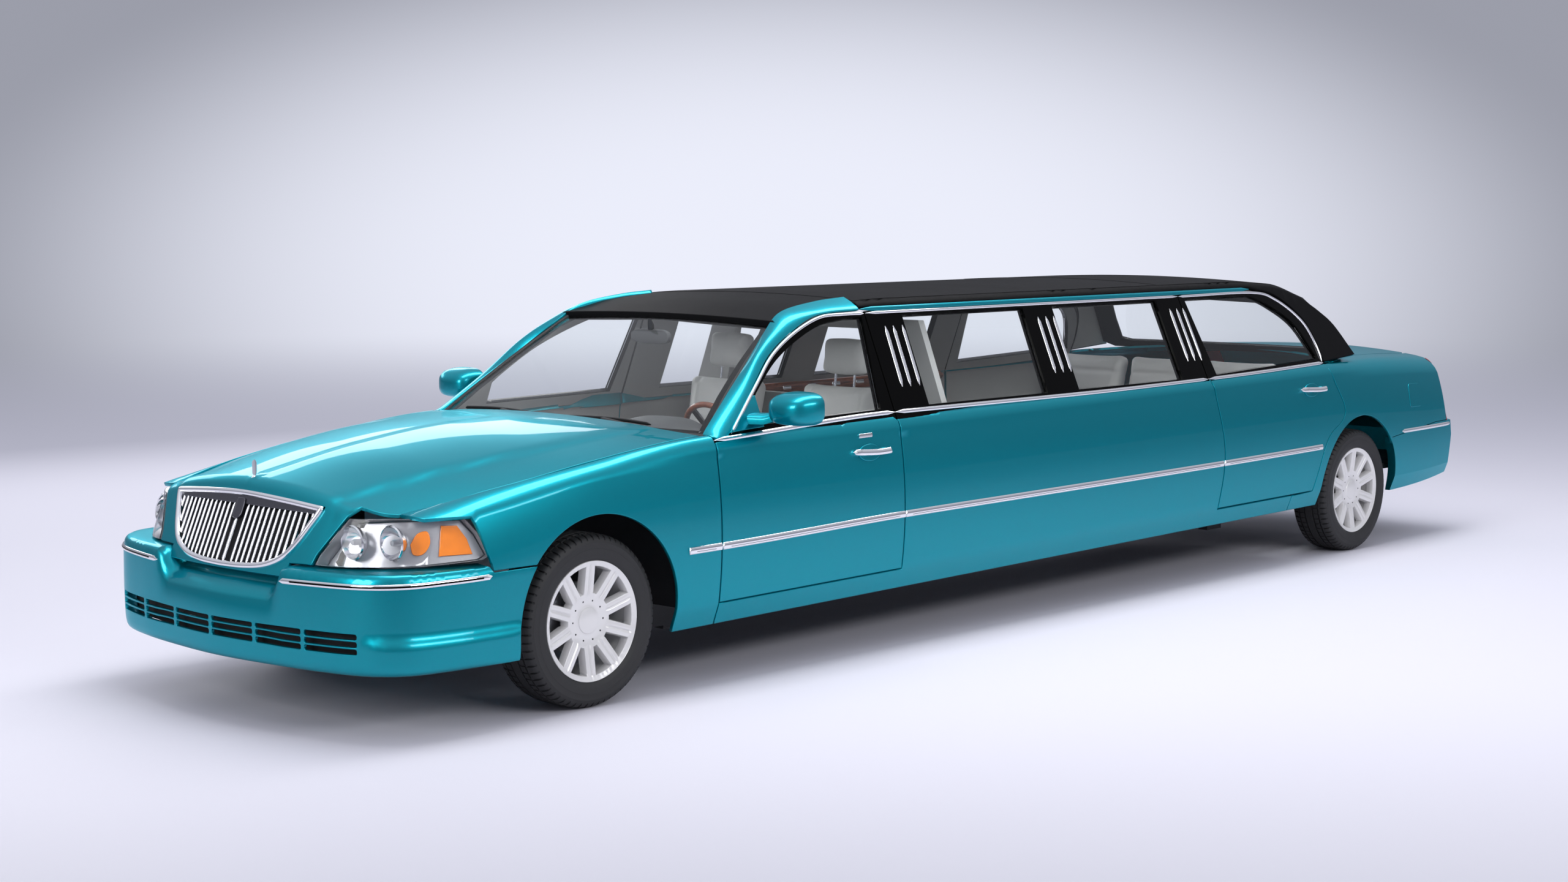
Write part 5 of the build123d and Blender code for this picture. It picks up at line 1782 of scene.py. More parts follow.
cowl = grid_sheet(cowl_skin, np.linspace(-0.885, 0.885, 60), np.linspace(-0.15, 1.0, 9), 0.010, flip=True)
sheet_piece("cowl_panel", [cowl], [black_rubber], "body", "dash_plastic")
WIPER_UP = (0.56, 0, 0.83)
wiper_sheets = []
for pivot, tip in ((0.58, -0.02), (-0.10, -0.70)):
    across = np.linspace(pivot - 0.03, tip, 30)
    up_glass = 0.050 + 0.020 * np.sin(np.linspace(0, math.pi, 30))
    blade = screen_skin(np.stack([across, up_glass], 1)) + (0.006, 0, 0.010)
    wiper_sheets.append(steady_strip(blade, WIPER_UP, 0.006, 0.010, sink=0.004))
    across = np.linspace(pivot, tip + 0.28, 20)
    arm = screen_skin(np.stack([across, np.linspace(-0.012, 0.052, 20)], 1)) + (0.012, 0, 0.020)
    wiper_sheets.append(steady_strip(arm, WIPER_UP, 0.009, 0.007, sink=0.004))
sheet_piece("wipers", wiper_sheets, [black_rubber], "body", "dash_plastic")
print("windscreen, cowl and wipers")

# %% [markdown]
# The rear window lies in a black frame. Behind its foot the painted deck fills the body up to the trunk lid.

# %% Rear window and its frame
def rear_plane(uv):
    """The raked, bowed rear window: uv holds y and the share of the way up."""
    y, t = uv[:, 0], uv[:, 1]
    bow_x = -3.085 + 0.105 * (y / 0.96) ** 2
    return np.stack([bow_x + 0.440 * t, y, 1.130 + 0.370 * t], 1)


frame_half = [(0, 0.02), (0.80, 0.02), (0.86, 0.10), (0.790, 0.50), (0.735, 0.86), (0.62, 0.985), (0, 1.0)]
pane_half = [(0, 0.13), (0.66, 0.13), (0.715, 0.17), (0.668, 0.50), (0.615, 0.80), (0.560, 0.865), (0, 0.90)]
frame_line = closed_line(both_halves(open_line(*frame_half), (-1, 1)))
pane_line = closed_line(both_halves(open_line(*pane_half), (-1, 1)))
rear_frame = press(rear_plane, frame_line, [pane_line], 0.020, 0.06, 0.004)
sheet_piece("rear_window_frame", [rear_frame], [roof_vinyl], "body", "roof_vinyl")


def rear_sunk(uv):
    """Just inside the rear window's plane."""
    return rear_plane(uv) + (0.006, 0, -0.006)


rear_glass = press(rear_sunk, pane_line, depth=0.005, spacing=0.08, edge=0.001)
sheet_piece("rear_glass", [rear_glass], [window_glass], "body", "window_glass", "rear_window")


def deck_skin(uv):
    """The body's top: uv holds x and y."""
    return np.stack([uv[:, 0], uv[:, 1], hood_height(uv[:, 0], uv[:, 1]) - 0.001], 1)


deck_half = closed_line(
    open_line((-3.237, 0.0), (-3.237, 0.733), (-3.0, 0.797), (-2.80, 0.862)),
    open_line((-2.80, 0.800), (-2.960, 0.740), (-3.020, 0.450), (-3.050, 0.0)),
)
deck = press(deck_skin, closed_line(both_halves(deck_half)), depth=0.014, spacing=0.06)
sheet_piece("rear_deck", [deck], [body_paint], "body", "body_paint")
print("rear window and deck")

# %% [markdown]
# ## Wheels and tyres
#
# The wheel's face is one sheet over a shallow dish, with ten windows, so that ten spokes are left between the
# hub and the rim. The dish carries the groove along each spoke. Its back is drawn in towards the windows,
# which gives the spokes their flared sides. The tyre is a turned profile whose outer columns drop at every
# pitch, so that the shoulder blocks are real.

# %% One wheel, facing +Y about the origin
SPOKES, SPOKE_HALF, LIP = 10, 0.0245, 0.246
PITCH = 2 * math.pi / SPOKES
TURN = 2 * math.pi


def on_circle(radius, angle):
    """A point on a circle about the origin."""
    return radius * math.cos(angle), radius * math.sin(angle)


def circle(radius, count):
    """Points round a circle."""
    return [on_circle(radius, TURN * k / count) for k in range(count)]


def dish(uv):
    """The wheel's face: uv holds x and z from the middle of the wheel."""
    r = np.hypot(uv[:, 0], uv[:, 1])
    out = np.interp(r, [0, 0.055, 0.062, 0.090, 0.120, 0.200, 0.226, 0.240, 0.246],
                    [0.080, 0.078, 0.076, 0.077, 0.084, 0.094, 0.097, 0.103, 0.105])
    angle = np.arctan2(uv[:, 1], uv[:, 0])
    off = (angle - math.pi / 2 + PITCH / 2) % PITCH - PITCH / 2
    aside = r * np.sin(off)
    along = np.clip((r - 0.100) / 0.012, 0, 1) * np.clip((0.232 - r) / 0.010, 0, 1)
    groove = 0.0035 * np.exp(-((aside / 0.0035) ** 2))
    ridges = 0.0015 * np.exp(-(((np.abs(aside) - 0.010) / 0.006) ** 2))
    out = out - along * groove + along * ridges
    return np.stack([uv[:, 0], out, uv[:, 1]], 1)


def window_at(number):
    """One opening between two spokes."""
    middle = math.pi / 2 + (number + 0.5) * PITCH
    low, high = 0.112, 0.224
    line = []
    for r, turn in ((low, -1), (high, -1), (high, 1), (low, 1)):
        side = PITCH / 2 - math.asin(SPOKE_HALF / r)
        if r == high:
            line += [(r, middle + turn * side * k) for k in ((1, 0.5) if turn < 0 else (0, 0.5, 1))]
        else:
            line += [(r, middle + turn * side * 0.9)] if side > 0 else []
    return resample([on_circle(r, a) for r, a in line], 0.014)


windows = [window_at(number) for number in range(SPOKES)]
rim_circle = np.array(circle(LIP, 120))
groove_points = []
for number in range(SPOKES):
    a = math.pi / 2 + number * PITCH
    for r in np.arange(0.098, 0.236, 0.011):
        for d in (-0.016, -0.010, -0.0055, -0.002, 0.002, 0.0055, 0.010, 0.016):
            groove_points.append((r * math.cos(a) - d * math.sin(a), r * math.sin(a) + d * math.cos(a)))
for r in (0.030, 0.055, 0.058, 0.062, 0.075):
    groove_points += circle(r, 36)
face_points, face_normals, face_polygons, _ = press(
    dish, rim_circle, windows, depth=0.030, spacing=0.030, edge=0.0022, extra=np.array(groove_points)
)
if face_normals[0][1] < 0:
    face_normals = -face_normals
    face_polygons = [p[::-1] for p in face_polygons]
front_y = dish(face_points[:, [0, 2]])[:, 1]
deep = np.clip((front_y - face_points[:, 1]) / 0.030, 0, 1)
for line in windows:
    centre = line.mean(0)
    gap = np.linalg.norm(face_points[:, None, [0, 2]] - line[None], axis=2).min(1)
    pull = (0.22 * deep * np.exp(-((gap / 0.006) ** 2)))[:, None]
    face_points[:, [0, 2]] += (centre - face_points[:, [0, 2]]) * pull
    face_points[:, 1] -= 0.030 * pull[:, 0] * 2

print("wheel face", len(face_polygons), "faces")

# %% [markdown]
# Behind the face come the barrel, the cap over the hub, the brake disc and its drum, all turned. The tyre's
# profile is given for one half; the tread blocks are columns of it that drop at every pitch.

# %% Barrel, brake and tyre
BARREL = [(0.246, 0.105), (0.2475, 0.100), (0.2475, 0.090), (0.238, 0.072), (0.238, -0.072), (0.248, -0.094),
          (0.248, -0.102), (0.236, -0.102), (0.226, -0.080), (0.226, 0.075), (0.236, 0.098)]
CAP = [(0, 0.086), (0.020, 0.0855), (0.040, 0.084), (0.052, 0.081), (0.0545, 0.078), (0.0545, 0.070),
       (0, 0.070)]
DISC = [(0.060, 0.018), (0.150, 0.018), (0.152, 0.015), (0.152, -0.006), (0.150, -0.009), (0.060, -0.009)]
DRUM = [(0, 0.040), (0.072, 0.040), (0.076, 0.036), (0.076, -0.060), (0.120, -0.070), (0.120, -0.090),
        (0, -0.090)]

TREAD = [
    (0.094, 0.238), (0.1035, 0.2495), (0.108, 0.256), (0.1115, 0.272), (0.1140, 0.292), (0.1143, 0.2955),
    (0.1136, 0.2965), (0.1140, 0.300), (0.1120, 0.318), (0.1125, 0.3195), (0.1085, 0.331), (0.1055, 0.3375),
    (0.1000, 0.3440), (0.0900, 0.3500), (0.0740, 0.3532), (0.0655, 0.3540), (0.0650, 0.3465),
    (0.0575, 0.3465), (0.0570, 0.3545), (0.0300, 0.3550), (0.0295, 0.3475), (0.0225, 0.3475),
    (0.0220, 0.3550), (0.0, 0.3551),
]
PITCHES = 66


def tyre_mesh():
    """Points and polygons of a tyre about the origin, its outer side towards +Y."""
    half = np.array(TREAD)
    profile = np.concatenate([half, half[:-1][::-1] * (-1, 1)])
    drop = np.zeros(len(profile))
    for i, (y, r) in enumerate(profile):
        if 0.066 < abs(y) < 0.1060 and r > 0.336:
            drop[i] = 0.0075 if r > 0.345 else 0.0045
        elif 0.030 <= abs(y) <= 0.0575 and r > 0.35:
            drop[i] = 0.0035
    points, polygons = [], []
    columns = [
        (TURN * (pitch + share_at) / PITCHES, low)
        for pitch in range(PITCHES) for share_at, low in ((0.0, 0), (0.74, 0), (0.78, 1), (0.96, 1))
    ]
    for angle, low in columns:
        for (y, r), d in zip(profile, drop):
            r = r - d * low
            points.append((r * math.sin(angle), y, r * math.cos(angle)))
    count = len(profile)
    for i in range(len(columns)):
        j = (i + 1) % len(columns)
        for k in range(count - 1):
            polygons.append((i * count + k, i * count + k + 1, j * count + k + 1, j * count + k))
        polygons.append((i * count + count - 1, i * count, j * count, j * count + count - 1))
    points = np.array(points)
    a, b, c = points[list(polygons[0][:3])]
    if np.dot(np.cross(b - a, c - a), (a[0], 0.05, a[2])) < 0:
        polygons = [p[::-1] for p in polygons]
    return points, polygons


tyre_points, tyre_polygons = tyre_mesh()
AXLE_WAY, HUB = (0, 1, 0), (0, 0, 0)
LUG_DOT = [(0, 0.0045), (0.0032, 0.0045), (0.0042, 0.0035), (0.0042, 0), (0, 0)]
turned_parts = [
    (turned(profile, count, HUB, AXLE_WAY), slot)
    for profile, count, slot in ((BARREL, 96, 0), (CAP, 48, 0), (DISC, 64, 1), (DRUM, 48, 2))
]
for number in range(SPOKES):
    x, z = on_circle(0.083, math.pi / 2 + (number + 0.5) * PITCH)
    turned_parts.append((turned(LUG_DOT, 12, (x, 0.0735, z), AXLE_WAY), 2))
print("tyre", len(tyre_polygons), "faces")

# %% [markdown]
# One wheel is made about the origin and set down four times, mirrored for the right side. Each rides on its
# own spinning body.

# %% Place the four wheels
def mirrored_faces(polygons, side):
    """Polygons turned over for the right side."""
    return polygons if side > 0 else [p[::-1] for p in polygons]


for end, axle_x, track in (("front", FRONT_AXLE, 0.815), ("rear", REAR_AXLE, 0.830)):
    for side_name, side in SIDES:
        centre = np.array([axle_x, track * side, WHEEL_HEIGHT])
        flip = np.array([1, side, 1])
        body = f"wheel_{end}_{side_name}"
        name = f"{end}_{side_name}"
        polygons = mirrored_faces(face_polygons, side)
        sheet = (face_points * flip + centre, face_normals * flip, polygons, [0] * len(polygons))
        sheet_piece(f"wheel_face_{name}", [sheet], [wheel_paint], body, "wheel_alloy", f"wheel_{name}")
        all_points, all_polygons, slots_of, first = [], [], [], 0
        for (some_points, some_polygons), slot in turned_parts:
            all_points.append(some_points * flip + centre)
            all_polygons += [tuple(i + first for i in p) for p in mirrored_faces(some_polygons, side)]
            slots_of += [slot] * len(some_polygons)
            first += len(some_points)
        mesh_piece(f"wheel_barrel_{name}", np.concatenate(all_points), all_polygons,
                   [wheel_paint, bare_metal, chassis_black], body, "wheel_alloy", slots=slots_of)
        mesh_piece(f"tyre_{name}_tread", tyre_points * flip + centre, mirrored_faces(tyre_polygons, side),
                   [tyre_rubber], body, "tyre_rubber", f"tyre_{name}", angle=28)
print("four wheels placed")

# %% [markdown]
# ## Finishes on the fixed parts
#
# Pieces whose shape is already right keep their own mesh and only get a finish. Panes come in pairs, so their
# names are put together in a loop.

# %% Finishes by node
FINISH_NODES = [
    (body_paint, ["trunk_lid", "rear_bumper"]),
    (red_lens, ["tail_lamp_left", "tail_lamp_right"]),
    (chassis_black, ["floor_pan", "chassis_frame", "firewall", "rear_axle"]),
    (bare_metal, ["engine_block", "steering_knuckle_left", "steering_knuckle_right"]),
    (dark_plastic, ["dashboard"]),
    (trim_grey, ["partition"]),
    (wood, ["bar_cabinet", "steering_wheel"]),
    (leather, ["driver_seat", "passenger_seat", "rear_bench", "facing_bench"]),
    (window_glass, ["windscreen"]),
]
PANES = ("front_door_glass", "rear_door_glass", "stretch_glass_1", "stretch_glass_2")
FINISH_NODES.append((window_glass, [f"{pane}_{side_name}" for pane in PANES for side_name, side in SIDES]))
NODE_FINISH = {name: material for material, names in FINISH_NODES for name in names}
for name, material in NODE_FINISH.items():
    mesh = nodes[name].data
    mesh.materials.clear()
    mesh.materials.append(material)
print(len(NODE_FINISH), "nodes finished")

# %% [markdown]
# ## Bright trim
#
# Every bright strip is a low rounded bar that follows the form it lies on. Strips on a door ride on the door,
# so a long moulding is cut at each panel gap, as on the real car.

# %% Belt, drip and pillar strips
DOOR_GAP = 0.004
PANELS = [
    ("front_door", 1.205, 2.405, True), ("wall", -1.400, 1.205, False), ("rear_door", -2.610, -1.400, True),
]
DRIP_FRONT = [(2.290, 1.060), (2.052, 1.250), (1.900, 1.366), (1.717, 1.455), (1.523, 1.515), (1.360, 1.523),
              (1.212, 1.523)]
DRIP_REAR = [(-1.376, 1.523), (-2.090, 1.523), (-2.322, 1.478), (-2.517, 1.358), (-2.584, 1.233),
             (-2.598, 1.122)]
DRIP_LINES = {
    "front_door": smooth_line(DRIP_FRONT, 0.03),
    "wall": resample([(1.198, 1.524), (-1.366, 1.524)], 0.06, closed=False),
    "rear_door": smooth_line(DRIP_REAR, 0.03),
}
PILLAR_STRIPS = [
    (1.089, 1.098), (1.032, 1.038), (0.966, 0.972), (-0.086, -0.086), (-0.151, -0.152), (-0.214, -0.218),
    (-1.254, -1.268), (-1.318, -1.333), (-1.378, -1.397),
]
STRIP_TOP, STRIP_LOW = 1.462, 1.187


def house_out(uv, lift=0.001):
    """Just outside the leaning side plane."""
    return house_side(uv) + np.array([0, SLANT, SLANT * TUMBLE]) * lift


for side_name, side in SIDES:
    for kind, low, high, moves in PANELS:
        xs = np.linspace(high - DOOR_GAP, low + DOOR_GAP, max(8, int((high - low) / 0.05)))
        belt = np.stack([xs, belt_height(xs)[:, 0] + 0.003], 1)
        belt_bar = strip_on(house_out, belt, 0.011, 0.010, sink=0.012)
        drip_bar = strip_on(house_out, DRIP_LINES[kind], 0.008, 0.009, sink=0.010)
        body = f"{kind}_{side_name}" if moves else "body"
        sheet_piece(f"bright_lines_{kind}_{side_name}", sided(side, belt_bar, drip_bar), [chrome], body,
                    "wheel_alloy")
    bars = []
    for top_x, low_x in PILLAR_STRIPS:
        line = resample([(top_x, STRIP_TOP), (low_x, STRIP_LOW)], 0.03, closed=False)
        bars.append(strip_on(house_out, line, 0.010, 0.006, sink=0.004))
    sheet_piece(f"pillar_strips_{side_name}", sided(side, *bars), [chrome], "body", "wheel_alloy")
    edge = resample([(1.230, 1.543), (-2.090, 1.543)], 0.08, closed=False)
    edge_bar = strip_on(house_out, edge, 0.011, 0.007, sink=0.004)
    sheet_piece(f"roof_edge_{side_name}", sided(side, edge_bar), [body_paint], "body", "body_paint")
print("bright lines on", 2 * len(PANELS), "panels")

# %% [markdown]
# The side moulding is a flat bar with a dark groove along it, cut at every panel. A slim strip wraps round
# the rear corner at the same height.

# %% Side mouldings and tail strips
moulding_mid = smooth_table(
    [-2.9, -1.467, 0.172, 1.194, 2.405, 2.60, 3.0], [0.652, 0.634, 0.623, 0.617, 0.595, 0.594, 0.592]
)
MOULDINGS = [
    ("front_fender", False, 2.412, 2.600), ("front_door", True, 1.210, 2.400), ("wall", False, -1.452, 1.200),
    ("rear_door", True, -2.480, -1.470),
]
TAIL_STRIP = [(-3.430, 0.9725), (-3.620, 0.963), (-3.810, 0.9515), (-3.960, 0.940), (-4.060, 0.929),
              (-4.125, 0.912), (-4.175, 0.872), (-4.208, 0.810), (-4.228, 0.600)]
TAIL_STRIP_HEIGHT = 0.668


def flat_bar(line, half_width, height):
    """A flat moulding with bevelled long edges along a line on the body form."""
    points, normals = body_skin(line), surface_normals(body_skin, line)
    normals[normals[:, 1] < 0] *= -1
    return strip(points, normals, half_width, height, round_ends=False, sides=12, sink=0.004)


for side_name, side in SIDES:
    for kind, moves, low, high in MOULDINGS:
        xs = np.linspace(high, low, max(6, int((high - low) / 0.04)))
        line = np.stack([xs, skin_height(xs, moulding_mid(xs)[:, 0], 2)], 1)
        main = flat_bar(line, 0.016, 0.009)
        # Painted shade: this thin gloss black strip stands for the dark of the groove.
        dark = with_slot(flat_bar(line[1:-1] - (0, 0.0048), 0.0018, 0.0101), 1)
        body = f"{kind}_{side_name}" if moves else "body"
        sheet_piece(f"moulding_{kind}_{side_name}", sided(side, main, dark), [chrome, black_gloss], body,
                    "wheel_alloy")
    plan = smooth_line(TAIL_STRIP, 0.02)
    way = np.gradient(plan, axis=0)
    out = np.stack([way[:, 1], -way[:, 0], np.zeros(len(plan))], 1)
    path = np.concatenate([plan, np.full((len(plan), 1), TAIL_STRIP_HEIGHT)], axis=1)
    bar = strip(path, out, 0.012, 0.008, sides=12, sink=0.010)
    sheet_piece(f"tail_strip_{side_name}", sided(side, bar), [chrome], "body", "wheel_alloy")
print("mouldings and tail strips")

# %% [markdown]
# The side moulding is a flat bar, cut at every panel, with painted shade along its groove: a thin gloss black
# strip lies along it. A slim strip wraps round the rear corner at the same height.

# %% Door handles and the fuel door
HANDLES = (("front_door", 1.425, 0.916), ("rear_door", -2.400, 0.974))
HANDLE_BAR = [(0.118, 0.002, 0.008), (0.100, 0.030, 0.008), (0.05, 0.042, 0.006), (0, 0.045, 0.004),
              (-0.05, 0.042, 0.004), (-0.100, 0.030, 0.004), (-0.118, 0.002, 0.004)]
HANDLE_UP = (0, 0.95, 0.2)
FUEL_X = -3.62
HEIGHTS = np.linspace(0.45, 1.02, 40)


def bent_bar(path, up, half_width, height):
    """A rounded bar along points that hang free, such as a pull handle."""
    return steady_strip(smooth_line(path, 0.01), up, half_width, height, sides=10, sink=height * 0.8)


def oval_line(centre, width, height, count=36):
    """Points round an oval."""
    return np.array(centre) + np.array(circle(0.5, count)) * (width, height)


def skin_at(x):
    """The form's own coordinate at a row of heights, for one x."""
    return skin_height(np.full(len(HEIGHTS), x), HEIGHTS, 2)


def proud_plate(x, line, depth, spacing, edge, side=1, lift=0.006):
    """A plate that stands a little proud of the body form. Its line holds x and height."""
    skin_of = skin_at(x)

    def proud(uv):
        """The body form, lifted, for points given by x and height."""
        line_on_form = np.stack([uv[:, 0], np.interp(uv[:, 1], HEIGHTS, skin_of)], 1)
        return body_skin(line_on_form) + (0, lift, 0)

    return press(proud, line, depth=depth, spacing=spacing, edge=edge, side=side)


for side_name, side in SIDES:
    for door, x, z in HANDLES:
        body = f"{door}_{side_name}"
        cup = proud_plate(x, oval_line((x + 0.012, z), 0.150, 0.078), 0.012, 0.02, 0.004, side)
        sheet_piece(f"{door}_handle_plate_{side_name}", [cup], [body_paint], body, "body_paint")
        foot = body_skin(np.array([[x, np.interp(z, HEIGHTS, skin_at(x))]]))[0]
        bar = bent_bar(np.array(HANDLE_BAR) + (x, foot[1], z), HANDLE_UP, 0.014, 0.009)
        sheet_piece(f"{door}_handle_{side_name}", sided(side, bar), [chrome], body, "wheel_alloy")
    bare = proud_plate(HANDLES[0][1], round_slot((1.455, 0.993), (0.090, 0.020), 0.005), 0.010, 0.02,
                       0.002, side)
    sheet_piece(f"bare_plate_{side_name}", [bare], [chrome], f"front_door_{side_name}", "wheel_alloy")
fuel_line = round_slot((FUEL_X, 0.872), (0.150, 0.140), 0.018)
fuel = proud_plate(FUEL_X, fuel_line, 0.010, 0.03, 0.003, lift=0.0025)
sheet_piece("fuel_door", [fuel], [body_paint], "body", "body_paint")
print("handles and fuel door")

# %% [markdown]
# A mirror is a shell through rounded sections that ends in a rim round its glass. It stands on a short arm on
# a plate in the corner of the front door's window.

# %% Mirrors and the ornament
ROUNDNESS = 0.62


def shell_of(rows, count, name, materials, side, body, slot):
    """A closed shell through rounded sections: each row is x, centre y, centre z, half width, half height."""
    points, polygons = [], []
    for x, cy, cz, hw, hh in rows:
        for c, s in circle(1.0, count):
            c, s = (math.copysign(abs(value) ** ROUNDNESS, value) for value in (c, s))
            points.append((x, cy + hw * c, cz + hh * s))
    for i in range(len(rows) - 1):
        for k in range(count):
            m = (k + 1) % count
            polygons.append((i * count + k, i * count + m, (i + 1) * count + m, (i + 1) * count + k))
    polygons.append(tuple(range(count - 1, -1, -1)))
    polygons.append(tuple((len(rows) - 1) * count + k for k in range(count)))
    points = np.array(points)
    volume = sum(np.dot(points[f[0]], np.cross(points[f[1]], points[f[2]])) for f in polygons[: -2])
    if volume < 0:
        polygons = [p[::-1] for p in polygons]
    return mesh_piece(name, points * (1, side, 1), mirrored_faces(polygons, side), materials, body,
                      slot, angle=50)


MIRROR_ROWS = [
    (2.165, 1.088, 1.148, 0.030, 0.022), (2.158, 1.090, 1.150, 0.062, 0.040),
    (2.140, 1.095, 1.154, 0.092, 0.056), (2.110, 1.100, 1.157, 0.108, 0.066),
    (2.070, 1.103, 1.159, 0.114, 0.071), (2.030, 1.104, 1.160, 0.115, 0.072),
    (2.018, 1.104, 1.160, 0.112, 0.070), (2.016, 1.104, 1.160, 0.104, 0.063),
    (2.024, 1.104, 1.160, 0.101, 0.060),
]
MIRROR_PANE = [(2.022, 1.104, 1.160, 0.099, 0.058), (2.019, 1.104, 1.160, 0.099, 0.058)]
MIRROR_ARM = [(2.150, 0.882, 1.112), (2.130, 0.930, 1.112), (2.110, 0.980, 1.114), (2.095, 1.030, 1.132)]
SAIL_LINE = [(2.300, 1.062), (2.120, 1.200), (2.085, 1.205), (2.085, 1.072)]


def sail_plane(uv):
    """A plate's thickness outside the leaning side plane."""
    return house_out(uv, 0.006)


for side_name, side in SIDES:
    body = f"front_door_{side_name}"
    shell_of(MIRROR_ROWS, 40, f"mirror_shell_{side_name}", [body_paint], side, body, "body_paint")
    shell_of(MIRROR_PANE, 40, f"mirror_glass_{side_name}", [chrome], side, body, "window_glass")
    arm = bent_bar(MIRROR_ARM, (0, 0, 1), 0.048, 0.026)
    sheet_piece(f"mirror_arm_{side_name}", sided(side, arm), [body_paint], body, "body_paint")
    sail = press(sail_plane, resample(SAIL_LINE, 0.03), depth=0.016, spacing=0.04, side=side)
    sheet_piece(f"mirror_sail_{side_name}", [sail], [body_paint], body, "body_paint")

ORNAMENT_X = 4.055
FOOT = [(0, 0.0), (0.016, 0.0), (0.017, 0.004), (0.009, 0.010), (0.005, 0.016), (0, 0.018)]
stand = turned(FOOT, 28, (ORNAMENT_X, 0, 0.942), (0, 0, 1), start=(1, 0, 0))
mesh_piece("ornament_foot", *stand, [chrome], "hood", "wheel_alloy")
blade_line = smooth_line([(ORNAMENT_X, 0, z) for z in (0.955, 0.985, 1.020)], 0.008)
blade = steady_strip(blade_line, (1, 0, 0), 0.014, 0.003, sink=0.003)
sheet_piece("ornament_blade", [blade], [chrome], "hood", "wheel_alloy")
print("mirrors and ornament")

# %% [markdown]
# The trunk lid carries a bright band, and below it a dark recess that holds a blank plate.

# %% Rear lid band and plate
PLATE_MIDDLE = (0, 0.835)


def tail_plane(uv):
    """The bowed, leaning tail face: uv holds y and z."""
    y, z = uv[:, 0], uv[:, 1]
    base = -4.2155 + 0.050 * (y / 0.80) ** 2
    return np.stack([base + (z - 0.69) * 0.402 - 0.004, y, z], 1)


def plate_plane(uv):
    """The blank plate's own plane, just behind the tail face."""
    return tail_plane(uv) - (0.004, 0, 0)


band = np.array([(y, 0.985) for y in np.linspace(-0.58, 0.58, 60)])
band_sheet = steady_strip(tail_plane(band), (-0.93, 0, 0.37), 0.030, 0.007, sides=12, sink=0.006)
sheet_piece("lid_band", [band_sheet], [chrome], "trunk_lid", "wheel_alloy")
recess = press(tail_plane, round_slot(PLATE_MIDDLE, (0.62, 0.170), 0.02), depth=0.006, spacing=0.05)
sheet_piece("plate_recess", [recess], [black_gloss], "trunk_lid", "body_paint")
plate = press(plate_plane, round_slot(PLATE_MIDDLE, (0.520, 0.112), 0.010), depth=0.004, spacing=0.05)
sheet_piece("blank_plate", [plate], [wheel_paint], "trunk_lid", "wheel_alloy")
print("lid band and plate")

# %% [markdown]
# ## Padded seats
#
# A seat cushion is foam under leather: crowned in the middle, tight at its seams. Each pad starts as a
# bevelled block, a little smaller than the finished one, and a cloth simulation with air pressure inside
# swells it. The movement is capped, so that the pad stays in its place, and the sewn channels are pressed
# in afterwards.

# %% A pad, swollen by simulation
SHRINK, SWELL_STEPS = 0.024, 20


def apply_modifier(obj, label, kind, **settings):
    """Add a modifier with its settings and apply it."""
    modifier = obj.modifiers.new(label, kind)
    for setting, value in settings.items():
        setattr(modifier, setting, value)
    bpy.ops.object.modifier_apply(modifier=modifier.name)


def corners_of(obj):
    """A mesh's points as one array."""
    return np.array([tuple(v.co) for v in obj.data.vertices])


def swollen(pad, before, cap):
    """The pad's points after the simulation, none moved further than cap."""
    cloth = pad.modifiers.new("swelling", "CLOTH")
    cloth.settings.use_pressure = True
    cloth.settings.uniform_pressure_force = 4.0
    cloth.settings.effector_weights.gravity = 0.0
    cloth.settings.quality = 4
    for step in range(1, SWELL_STEPS + 1):
        bpy.context.scene.frame_set(step)
    bpy.ops.object.modifier_apply(modifier=cloth.name)
    bpy.context.scene.frame_set(1)
    shift = corners_of(pad) - before
    length = np.linalg.norm(shift, axis=1)[:, None]
    return before + shift * np.minimum(1, cap / np.maximum(length, 1e-9))


def make_pad(name, size, voxel=0.014, cap=0.022, channels=(), crown=0.012):
    """A padded block about the origin. channels holds (axis, place) pairs of sewn lines on its faces."""
    deselect()
    bpy.ops.mesh.primitive_cube_add(size=1)
    pad = bpy.context.object
    pad.name = name
    pad.scale = [max(s - SHRINK, s * 0.8) for s in size]
    bpy.ops.object.transform_apply(scale=True)
    bpy.ops.object.mode_set(mode="EDIT")
    bpy.ops.mesh.select_all(action="SELECT")
    bpy.ops.mesh.bevel(offset=min(size) * 0.26, segments=4, affect="EDGES")
    bpy.ops.object.mode_set(mode="OBJECT")
    apply_modifier(pad, "even net", "REMESH", mode="VOXEL", voxel_size=voxel)
    before = corners_of(pad)
    moved = swollen(pad, before, cap)
    half = np.array(size) / 2
    moved = np.clip(moved, -half * 1.04, half * 1.04)
    thin = int(np.argmin(size))
    for axis, at in channels:
        gap = np.abs(moved[:, axis] - at)
        moved[:, thin] *= 1 - 0.16 * np.exp(-((gap / 0.010) ** 2))
    others = [k for k in range(3) if k != thin]
    swell = np.prod([np.clip(1 - (moved[:, k] / half[k]) ** 2, 0, 1) for k in others], axis=0)
    moved[:, thin] += np.sign(moved[:, thin]) * crown * swell
    pad.data.vertices.foreach_set("co", moved.ravel())
    pad.data.update()
    apply_modifier(pad, "fine", "SUBSURF", levels=1, render_levels=1)
    bpy.ops.object.shade_smooth()
    pad.data.materials.clear()
    pad.data.materials.append(leather)
    return pad


